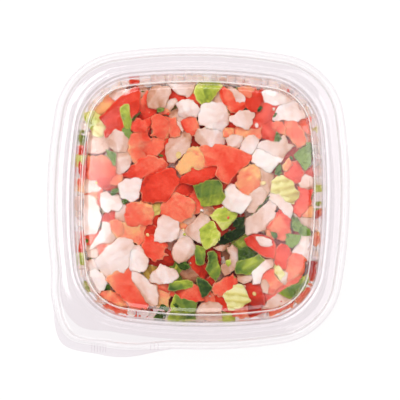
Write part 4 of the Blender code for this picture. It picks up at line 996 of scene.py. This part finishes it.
# A piece's top edge in mm, anticlockwise: grown, its corners cut off, and ragged.
def raggedLoop(outlined, cut, dome, spacing, grow, seed):
    loop = np.array(outlined, float)
    if np.sum(loop[:, 0] * np.roll(loop[:, 1], -1) - loop[:, 1] * np.roll(loop[:, 0], -1)) < 0:
        loop = loop[::-1]
    loop = resampled(cornersCut(grown(loop, grow), cut["corner"]), spacing)
    ragged = cut["ragged"] * min(1.0, min(np.ptp(loop, axis=0)) / cutting["raggedFrom"])
    ragged *= cutting["smoothRagged"] if dome > cutting["smoothDome"] else 1.0
    for i, (x, y) in enumerate(loop):
        off = Vector((0, 0, 0))
        for height, scale, strength in cutting["raggedNoises"]:
            off += noise.noise_vector(Vector((x, y, height)) * scale + seed) * strength
        loop[i] += np.array(off[:2]) * ragged
    return loop


# Slanted planes that cut the top, as (direction, where they start, slope, tone of painted shading), and the
# stretches of their creases that lie inside the loop.
def facetPlanes(loop, cut):
    planes, creases = [], []
    for _ in range(cut["facets"]):
        out = randomWay()
        along = loop @ out
        reach = along.max() - draw.uniform(*cutting["facetReach"]) * np.ptp(along)
        planes.append((out, reach, draw.uniform(*cut["slopes"]), draw.uniform(*cut["tones"])))
        across = np.array([-out[1], out[0]])
        steps = np.arange((loop @ across).min(), (loop @ across).max(), cutting["creaseStep"])
        line = reach * out + steps[:, None] * across
        inside = edgeDistance(line, loop) > cutting["creaseInset"]
        creases += [line[i:i + 2] for i in range(len(line) - 1) if inside[i] and inside[i + 1]]
    return planes, creases


# A loop's inside in triangles that follow its edge and the creases: (points, faces, the faces' outer edges).
def filled(loop, cut, creases, inner):
    inward, soft, count = inwards(loop), cut["soft"], len(loop)
    deepest = max(cut["rim"], 1.5 * soft)
    points = [loop]
    for offset in [share * soft for share in cutting["rows"]] + [deepest]:
        moved = loop + inward * offset
        points.append(moved[edgeDistance(moved, loop) > offset * 0.8])
    total = sum(len(some) for some in points)
    edges = [(i, (i + 1) % count) for i in range(count)]
    edges += [(total + 2 * i, total + 2 * i + 1) for i in range(len(creases))]
    low, high = loop.min(0), loop.max(0)
    columns, rows = [np.arange(low[i], high[i], inner) for i in (0, 1)]
    grid = np.array([(x + inner / 2 * (j % 2), y) for j, y in enumerate(rows) for x in columns])
    points += creases
    if len(grid):
        points.append(grid[edgeDistance(grid, loop) > deepest + 0.5])
    verts, _, faces, _, _, _ = delaunay_2d_cdt([Vector(p) for p in np.vstack(points)], edges, [], 1, 1e-4)
    around = dict.fromkeys((a, b) for face in faces for a, b in zip(face, face[1:] + face[:1]))
    return np.array([v[:] for v in verts]), faces, [(a, b) for a, b in around if (b, a) not in around]


# The top's height, and its tone's shift of painted shading from facets and a gradient, at flat points, each
# so far inside the edge.
def topRelief(flat, inside, thick, dome, cut, planes, seed, middle, reach):
    top = dome * (1 - (np.linalg.norm(flat - middle, axis=1) / reach) ** 2)
    shade = np.zeros(len(flat))
    for out, start, slope, tone in planes:
        beyond = np.maximum(flat @ out - start, 0)
        top -= slope * beyond
        # Each facet's tone is painted shading.
        shade += np.where(beyond > 0.02, tone, 0)
    soft = cut["soft"]
    drop = soft * (1 - np.sqrt(np.clip(1 - (1 - np.clip(inside / soft, 0, 1)) ** 2, 0, 1)))
    top = np.maximum(top, -0.6 * thick) - drop
    for i, (x, y) in enumerate(flat):
        for height, scale, strength in cutting["bumpNoises"]:
            place = Vector((x, y, height)) * scale / cut["bumpSize"] + seed
            top[i] += cut["bump"] * strength * noise.noise(place)
    # A painted shading gradient across the piece, in a random direction.
    way = randomWay()
    shade += (flat - middle) @ (cut["shadeGradient"] * draw.uniform(0.2, 1.0) * way / reach)
    return top, shade


# All the points and faces of a piece: its sides go down from the top's border in three steps, and the
# border's own triangles close the bottom.
def withSides(flat, top, faces, walls, border, thick, cut, seed):
    made = [tuple(face) for face in faces]
    order = {a: i for i, a in enumerate(border)}
    edgeFlat = flat[border]
    side = np.zeros((len(border), 2))
    for a, b in walls:
        way = flat[b] - flat[a]
        across = np.array([-way[1], way[0]]) / max(np.linalg.norm(way), 1e-9)
        side[order[a]] += across
        side[order[b]] += across
    side = unit(side)
    found = [np.column_stack([flat, top])]
    last = border
    bulge = draw.uniform(*cutting["bulge"])
    wave = min(cutting["sideWave"][0], thick / cutting["sideWave"][1])
    for level, (share, out) in enumerate(((0.4, bulge), (0.85, bulge * 0.6 - 0.15), (1.0, -0.5))):
        heights = top[border] + share * (-thick - cut["soft"] - top[border])
        row = np.column_stack([edgeFlat - side * out * min(1.0, thick / 4), heights])
        for i in range(len(row)):
            off = noise.noise_vector(Vector(row[i]) * cutting["sideNoise"] + seed)
            row[i] += np.array(off[:]) * wave
        found.append(row)
        now = [len(flat) + level * len(row) + i for i in range(len(row))]
        for a, b in walls:
            i, j = order[a], order[b]
            made.append((last[j], last[i], now[i], now[j]))
        last = now
    _, _, floors, origins, _, _ = delaunay_2d_cdt(
        [Vector(p) for p in edgeFlat], [(order[a], order[b]) for a, b in walls], [], 1, 1e-6)
    made += [tuple(last[origins[i][0]] for i in reversed(face)) for face in floors]
    return np.vstack(found), made


# A cut piece lying flat in mm, its top at height 0: (places, faces, tone shift of painted shading, rim,
# grain).
def chunk(outlined, thick, dome, cut, spacing=0.75, inner=1.3, grow=0.2):
    seed = Vector([draw.uniform(0, 900) for _ in range(3)])
    loop = raggedLoop(outlined, cut, dome, spacing, grow, seed)
    planes, creases = facetPlanes(loop, cut) if dome < cutting["smoothDome"] else ([], [])
    flat, faces, walls = filled(loop, cut, creases, inner)
    border = sorted({a for wall in walls for a in wall})
    inside = np.maximum(edgeDistance(flat, loop), 0)
    inside[border] = 0
    low, high = loop.min(0), loop.max(0)
    middle, reach = (low + high) / 2, max(np.linalg.norm(high - low) / 2, 1)
    top, shade = topRelief(flat, inside, thick, dome, cut, planes, seed, middle, reach)
    places, made = withSides(flat, top, faces, walls, border, thick, cut, seed)
    sides = len(places) - len(flat)
    # The sides get the kind's tone of painted shade.
    shade = np.concatenate([shade, np.full(sides, cut["under"])])
    rim = np.concatenate([np.clip(1 - inside / cut["rim"], 0, 1), np.full(sides, cut["side"])])
    angle = draw.uniform(0, math.pi)
    grain = places[:, 0] * math.cos(angle) + places[:, 1] * math.sin(angle)
    return places, made, shade, rim, grain


cuts = {"tomato": tomatoCut, "onion": onionCut, "greenPepper": pepperCut, "palePepper": pepperCut,
        "cilantro": leafCut, "seed": seedCut}
heaps = {kind: Heap(cut) for kind, cut in cuts.items()}
draw = random.Random(14)
noise.seed_set(14)

# How a top piece lies, in mm: it is grown beneath its neighbours, more so the deeper it lies, down to a
# depth, and tilted, with that percentage of its points below its depth. Onion gets a darker tone with depth,
# painted shade of the deeper spots that also stands for juice soaking in.
laying = {"grow": 0.35, "growWithDepth": 0.15, "deepest": 3.0, "tilt": 0.07, "below": 95, "shadePerDepth": 0.05}


# Lays a traced piece under the lid.
def topPiece(kind, depth, thick, tone, dome, outlined):
    grow = laying["grow"] + laying["growWithDepth"] * min(depth, laying["deepest"])
    places, faces, shade, rim, grain = chunk(outlined, thick, dome, heaps[kind].cut, grow=grow)
    middle = places[:, :2].mean(0)
    slopes = (draw.gauss(0, laying["tilt"]), draw.gauss(0, laying["tilt"]))
    places[:, 2] += ((places[:, :2] - middle) * slopes).sum(1)
    places[:, 2] += ceiling(*(middle * mm)) / mm - depth - np.percentile(places[:, 2], laying["below"])
    depthShade = laying["shadePerDepth"] * depth if kind == "onion" else 0.0
    heaps[kind].add(places * mm, faces, tone + depthShade + shade, rim, grain)


for kind, table in (("tomato", tomatoTop), ("onion", onionTop), ("greenPepper", greenPepperTop),
                    ("palePepper", palePepperTop), ("greenPepper", greenStemTop)):
    for piece in table:
        topPiece(kind, *piece)
print("top pieces made")

# What lies under and beside them, in mm: jittered layers and rows of dice and strips, the rows pressed
# against the tub's wall. Widths, lengths and thicknesses are ranges.
filling = {
    "kinds": ("tomato", "onion", "greenPepper", "palePepper"), "shares": (0.52, 0.36, 0.08, 0.04),
    "tones": {"tomato": (0.1, 0.75), "onion": (0.1, 0.55),
              "greenPepper": (0.15, 0.9), "palePepper": (0.1, 0.6)},
    "strips": 0.18, "strip": ((4, 6), (11, 16), (4, 6)), "dice": ((8, 13), (8, 13), (6, 9)),
    "uneven": (0.18, 0.12), "dome": 0.3, "spacing": 1.4, "inner": 2.6, "lift": 1.0, "tilt": 0.14,
    # depth below the lid, spacing, distance kept from the rim, and a darker tone: painted shade, also juice
    # soaking
    "layers": ((7.0, 8.5, 21.5, 0.25), (13.0, 10.5, 21.5, 0.35)),
    "lid": 47.5, "reach": 64, "rowShare": 0.87, "shake": 1.6, "shakeUp": 1.2,
    # height, spacing, distance kept from the wall, size
    "rows": ((5.5, 10.2, 0.4, 1.0), (14.0, 10.2, 0.4, 1.0), (22.0, 10.0, 0.4, 1.0), (31.0, 10.0, 4.6, 1.0),
             (36.3, 4.6, 0.4, 0.5)),
    "rowTilt": -0.2, "rowShake": 1.5,
    "edgeShares": (0.02, 0.94, 0.01, 0.03), "edgeTones": (-0.12, 0.14),  # the small pieces of the top row
}


# A dice or a strip about the origin, roughly cut.
def roughPolygon(width, length):
    corners = []
    for x, y in ((-1, -1), (1, -1), (1, 1), (-1, 1)):
        offX, offY = [draw.uniform(-uneven, uneven) for uneven in filling["uneven"]]
        corners.append((x * width / 2 + offX * width, y * length / 2 + offY * length))
    return corners


def fillerPiece(centre, aim, depthShade=0.0, size=1.0):
    atEdge = size < 1
    kind = draw.choices(filling["kinds"], filling["edgeShares" if atEdge else "shares"])[0]
    ranges = filling["strip" if draw.random() < filling["strips"] else "dice"]
    width, length, thick = [draw.uniform(*found) * size for found in ranges]
    outlined = roughPolygon(width, length)
    places, faces, shade, rim, grain = chunk(outlined, thick, filling["dome"], heaps[kind].cut,
                                             filling["spacing"], filling["inner"])
    places[:, 2] += filling["lift"]
    spin = Matrix.Rotation(draw.uniform(0, 2 * math.pi), 3, "Z")
    leanX, leanY = [Matrix.Rotation(draw.gauss(0, filling["tilt"]), 3, axis) for axis in "XY"]
    places = places @ np.array(aim @ (leanX @ leanY) @ spin).T * mm + np.array(centre)
    # Deeper layers get darker onion and tomato tones: painted shade, also standing for juice soaking.
    tone = draw.uniform(*filling["tones"][kind]) + {"onion": depthShade, "tomato": -depthShade}.get(kind, 0)
    if atEdge and kind == "onion":
        tone, shade = draw.uniform(*filling["edgeTones"]), np.minimum(shade, 0)
    heaps[kind].add(places, faces, tone + shade, rim, grain)


def fillLayer(depth, spacing, keepInset, depthShade):
    count, shake, up = int(filling["reach"] / spacing), filling["shake"], filling["shakeUp"]
    for j in range(-count, count + 1):
        for i in range(-count, count + 1):
            x = (i + 0.5 * (j % 2)) * spacing + draw.uniform(-shake, shake)
            y = j * spacing * filling["rowShare"] + draw.uniform(-shake, shake)
            if rimDistance(x * mm, y * mm) > keepInset * mm:
                z = filling["lid"] - depth + draw.uniform(-up, up)
                fillerPiece((x * mm, y * mm, z * mm), Matrix.Identity(3), depthShade)


def fillWall(height, spacing, back, size):
    rounder = between(room["wallRounder"], height * mm)
    share = wallShare(float(between(room["wall"], height * mm)) + tub["wall"] / 2 + back * mm)
    line = np.array([p[:2] for p in ring(rimShape["wallTop"], 0.0, rounder=rounder)]) * share
    outward, shake = [out for _, out in outlinePoints()], filling["rowShake"]
    for x, y in evenly(line, spacing * mm):
        out = outward[np.argmin(np.hypot(line[:, 0] - x, line[:, 1] - y))]
        aim = Vector((out.x, out.y, filling["rowTilt"])).normalized().to_track_quat("Z", "Y").to_matrix()
        fillerPiece((x, y, (height + draw.uniform(-shake, shake) * size) * mm), aim, size=size)


for layer in filling["layers"]:
    fillLayer(*layer)
for row in filling["rows"]:
    fillWall(*row)
print("filling made")

# Cilantro in mm: wavy lobed leaves, about one to each of these areas of a patch, over one of its outline.
leaves = {
    "points": 22, "lobes": 5, "lobeDepth": 0.22, "uneven": 0.1, "area": 9, "overEdge": 0.4,
    "size": (2.6, 4.6), "width": (0.6, 1.0), "depth": (0.3, 1.4), "patchDepth": (0.6, 1.4),
    "toneShift": 0.25, "patchToneShift": 0.1, "thick": 0.35, "wave": 0.9, "waves": 0.45, "tilt": 0.1,
}


def leafOutline(width, length):
    points = []
    for i in range(leaves["points"]):
        angle = 2 * math.pi * i / leaves["points"]
        lobe = 1 - leaves["lobeDepth"] + leaves["lobeDepth"] * math.cos(leaves["lobes"] * angle)
        lobe += draw.uniform(-leaves["uneven"], leaves["uneven"])
        points.append((math.cos(angle) * width / 2 * lobe, math.sin(angle) * length / 2 * lobe))
    return points


def addLeaf(outlined, depth, tone):
    places, faces, shade, rim, grain = chunk(outlined, leaves["thick"], 0.0, leafCut, 0.7, 0.9, grow=0.0)
    middle = places[:, :2].mean(0)
    seed = Vector((draw.uniform(0, 90), draw.uniform(0, 90), 0))
    for place in places:
        place[2] += leaves["wave"] * noise.noise(Vector((place[0], place[1], 0)) * leaves["waves"] + seed)
    slopes = (draw.gauss(0, leaves["tilt"]), draw.gauss(0, leaves["tilt"]))
    places[:, 2] += ceiling(*(middle * mm)) / mm - depth + ((places[:, :2] - middle) * slopes).sum(1)
    heaps["cilantro"].add(places * mm, faces, tone + shade, rim, grain)


for tone, patch in cilantroPatches:
    patch, shift = np.array(patch), leaves["patchToneShift"]
    addLeaf(patch, draw.uniform(*leaves["patchDepth"]), tone + draw.uniform(-shift, shift))
    low, high = patch.min(0), patch.max(0)
    for _ in range(int(np.prod(high - low) / leaves["area"])):
        spot = np.array([draw.uniform(low[0], high[0]), draw.uniform(low[1], high[1])])
        if edgeDistance(spot[None], patch)[0] < leaves["overEdge"]:
            continue
        size = draw.uniform(*leaves["size"])
        lobes = np.array(leafOutline(size, size * draw.uniform(*leaves["width"]))) + spot
        shift = leaves["toneShift"]
        addLeaf(lobes, draw.uniform(*leaves["depth"]), tone + draw.uniform(-shift, shift))
print("leaves made")

# Crumbs in the gaps, and tomato seeds, in mm. Each is set on what lies below it, at depths below the lid.
crumbs = {"kinds": ("tomato", "onion", "greenPepper", "cilantro"), "shares": (0.42, 0.40, 0.10, 0.08),
          "count": 300, "reach": 48, "rimDistance": 17.5, "size": (1.0, 2.6), "deep": (2.6, 9.0),
          "sink": 0.4, "tones": (0.1, 0.7)}
seeds = {"places": [(-8.7, 18.3), (27.8, 6.8), (-41.0, -6.2), (26.5, 7.9)], "loose": 6, "reach": 44,
         "size": (2.3, 3.0), "looseSize": 0.75, "placedSize": 1.1, "narrow": 0.38, "thick": 0.9,
         "deep": (1.5, 9.0), "placedDeep": (-1, 12), "sink": 0.3, "tones": (0.1, 0.7)}
starts = np.cumsum([0] + [heap.count for heap in heaps.values()]).tolist()
below = BVHTree.FromPolygons(
    np.vstack([np.vstack(heap.places) for heap in heaps.values() if heap.places]).tolist(),
    [tuple(start + i for i in face) for heap, start in zip(heaps.values(), starts) for face in heap.faces])


# A small irregular lump about the origin.
def lump(size):
    corners = []
    for i in range(draw.randint(5, 7)):
        angle = i + draw.uniform(-0.3, 0.3)
        reach = size / 2 * draw.uniform(0.55, 1.15)
        corners.append((reach * math.cos(angle), reach * math.sin(angle) * 0.8))
    return corners


# Sets a small piece on the heap at x, y, if the surface there is within the depths given.
def setDown(kind, outlined, thick, dome, x, y, tone, deep, sink):
    lidAbove = float(ceiling(x * mm, y * mm))
    hit, normal, _, _ = below.ray_cast(Vector((x * mm, y * mm, lidAbove)), Vector((0, 0, -1)))
    if hit is None or not deep[0] < (lidAbove - hit.z) / mm < deep[1] or normal.z < 0.5:
        return
    places, faces, shade, rim, grain = chunk(outlined, thick, dome, heaps[kind].cut, 0.6, 0.9, grow=0.0)
    places[:, 2] += thick * (1 - sink)
    places = places @ np.array(normal.to_track_quat("Z", "Y").to_matrix()).T * mm + np.array(hit)
    heaps[kind].add(places, faces, tone + shade, rim, grain)


for _ in range(crumbs["count"]):
    x, y = [draw.uniform(-crumbs["reach"], crumbs["reach"]) for _ in range(2)]
    kind = draw.choices(crumbs["kinds"], crumbs["shares"])[0]
    size = draw.uniform(*crumbs["size"])
    if rimDistance(x * mm, y * mm) > crumbs["rimDistance"] * mm:
        setDown(kind, lump(size), size * 0.5, 0.1, x, y, draw.uniform(*crumbs["tones"]), crumbs["deep"],
                crumbs["sink"])
for place in seeds["places"] + [None] * seeds["loose"]:
    x, y = place or [draw.uniform(-seeds["reach"], seeds["reach"]) for _ in range(2)]
    size = draw.uniform(*seeds["size"]) * (seeds["placedSize"] if place else seeds["looseSize"])
    spin = draw.uniform(0, math.pi)
    oval = [(size / 2 * math.cos(a) * math.cos(spin) - size * seeds["narrow"] * math.sin(a) * math.sin(spin),
             size / 2 * math.cos(a) * math.sin(spin) + size * seeds["narrow"] * math.sin(a) * math.cos(spin))
            for a in np.arange(10) * math.pi / 5]
    setDown("seed", oval, seeds["thick"], 0.25, x, y, draw.uniform(*seeds["tones"]),
            seeds["placedDeep" if place else "deep"], seeds["sink"])
print("crumbs and seeds made")

salsaPieces = [heaps[kind].build(name, look) for kind, name, look in (
    ("tomato", "tomatoPieces", tomatoFlesh), ("onion", "onionPieces", onionFlesh),
    ("greenPepper", "greenPepperPieces", greenFlesh), ("palePepper", "palePepperPieces", paleFlesh),
    ("cilantro", "cilantroLeaves", leafGreen), ("seed", "tomatoSeeds", seedCoat))]

# The heap's inside, a dark mass whose colour is painted shade of the deep gaps, as (height, distance from
# the wall) in mm, and the pool of thin juice in the bottom, which reaches just into the tub's wall.
core = {"colour": "7a2412", "roughness": 0.35,
        "rows": ((2.0, 4.0), (12.0, 5.0), (22.0, 5.0), (31.0, 7.0), (34.0, 10.0))}
juice = {"colour": "d8603a", "through": "f6b090", "roughness": 0.12, "share": 0.3, "reach": 0.15,
         "heights": (0.55, 1.2, 2.4, 3.8, 5.0, 6.0)}
coreShade = plainMaterial("salsa_core_painted_shade", {
    "Base Color": linear(core["colour"]), "Roughness": core["roughness"]})
juiceThin, juiceTree, juiceSurface = emptyMaterial("tomato_juice")
juiceClear = node(juiceTree, "ShaderNodeBsdfTransparent", values={"Color": linear(juice["through"])})
juiceBody = node(juiceTree, "ShaderNodeBsdfPrincipled", values={
    "Base Color": linear(juice["colour"]), "Roughness": juice["roughness"]})
juiceMix = node(juiceTree, "ShaderNodeMixShader", values={0: juice["share"]},
                links={1: juiceClear.outputs[0], 2: juiceBody.outputs[0]})
juiceTree.links.new(juiceMix.outputs[0], juiceSurface)


def wallRing(height, back):
    inset = float(between(room["wall"], height * mm)) + back * mm
    return ring(inset, height * mm, rounder=between(room["wallRounder"], height * mm), shrinks=True)


coreRings = [wallRing(height, back) for height, back in core["rows"]]
juiceRings = [wallRing(height, tub["wall"] / 2 / mm - juice["reach"]) for height in juice["heights"]]
for name, rings, look in (("heapCore", coreRings, coreShade), ("juicePool", juiceRings, juiceThin)):
    salsaPieces.append(addObject(name, meshThrough(name, rings, [look], closed=True)))
print("core and juice made")

for replaced, pieces in (("tub", [tubShell]), ("lid", [lidShell]), ("salsa", salsaPieces)):
    for piece in pieces:
        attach(piece, "root")
        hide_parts(replaced)

# A white floor with raised sides, and large soft lights round the camera's axis.
studio = {
    "half": 3.0, "side": 1.2, "base": 0.12, "roughness": 0.9, "glow": 0.895, "world": 0.05,
    # name, place, what it shines at, size, power
    "lights": (
        ("keyLight", (-0.55, 0.55, 1.0), (0, 0, 0.04), (0.7, 0.7), 8.2),
        ("leftBox", (-0.395, 0.02, 1.1), (-0.395, 0.02, 0), (0.5, 0.26), 2.2),
        ("rightBox", (0.40, 0.0, 1.1), (0.40, 0.0, 0), (0.6, 0.44), 1.8),
        ("upperBox", (0.05, 0.7, 1.1), (0.05, 0.7, 0), (0.6, 0.5), 2.8),
        ("frontLight", (0.0, -0.8, 0.9), (0, 0, 0.04), (0.8, 0.4), 2.8),
        ("sideLight", (0.8, 0.3, 0.9), (0, 0, 0.04), (0.5, 0.6), 3.0),
    ),
}
floorMesh = bpy.data.meshes.new("floor")
half, base = studio["half"], studio["base"]
square = ((-half, -half), (half, -half), (half, half), (-half, half))
floorMesh.from_pydata([(x, y, z) for z in (0, studio["side"]) for x, y in square], [],
                      [(0, 1, 2, 3), (0, 4, 5, 1), (1, 5, 6, 2), (2, 6, 7, 3), (3, 7, 4, 0)])
floorMesh.materials.append(plainMaterial("white_floor", {
    "Base Color": (base, base, base, 1), "Roughness": studio["roughness"],
    "Emission Color": (1, 1, 1, 1), "Emission Strength": studio["glow"]}))
addObject("floor", floorMesh)


def softLight(name, place, target, size, power):
    lamp = bpy.data.lights.new(name, "AREA")
    lamp.shape = "RECTANGLE"
    lamp.size, lamp.size_y = size
    lamp.energy = power
    made = addObject(name, lamp)
    made.location = place
    made.rotation_euler = (Vector(target) - Vector(place)).to_track_quat("-Z", "Y").to_euler()


for light in studio["lights"]:
    softLight(*light)
world = bpy.data.worlds.new("studio")
world.use_nodes = True
background = world.node_tree.nodes["Background"]
background.inputs["Color"].default_value = (1, 1, 1, 1)
background.inputs["Strength"].default_value = studio["world"]
bpy.context.scene.world = world
bpy.context.scene.view_settings.view_transform = "Standard"
bpy.context.scene.cycles.transparent_max_bounces = 24
print("studio made")

# The camera looks straight down, a little turned and off the middle, over a width at the rim's height.
view = {"away": 0.95, "turn": 0.014, "width": 171.04 * mm, "shift": (0.757 * mm, -0.82 * mm),
        "clip": (0.01, 10)}
lens = bpy.data.cameras.new("camera")
lens.lens = lens.sensor_width * view["away"] / view["width"]
lens.clip_start, lens.clip_end = view["clip"]
camera = addObject("camera", lens)
offset = Matrix.Rotation(view["turn"], 2) @ Vector(view["shift"])
camera.location = (offset.x, offset.y, rimShape["height"] + view["away"])
camera.rotation_euler = (0, 0, view["turn"])
bpy.context.scene.camera = camera
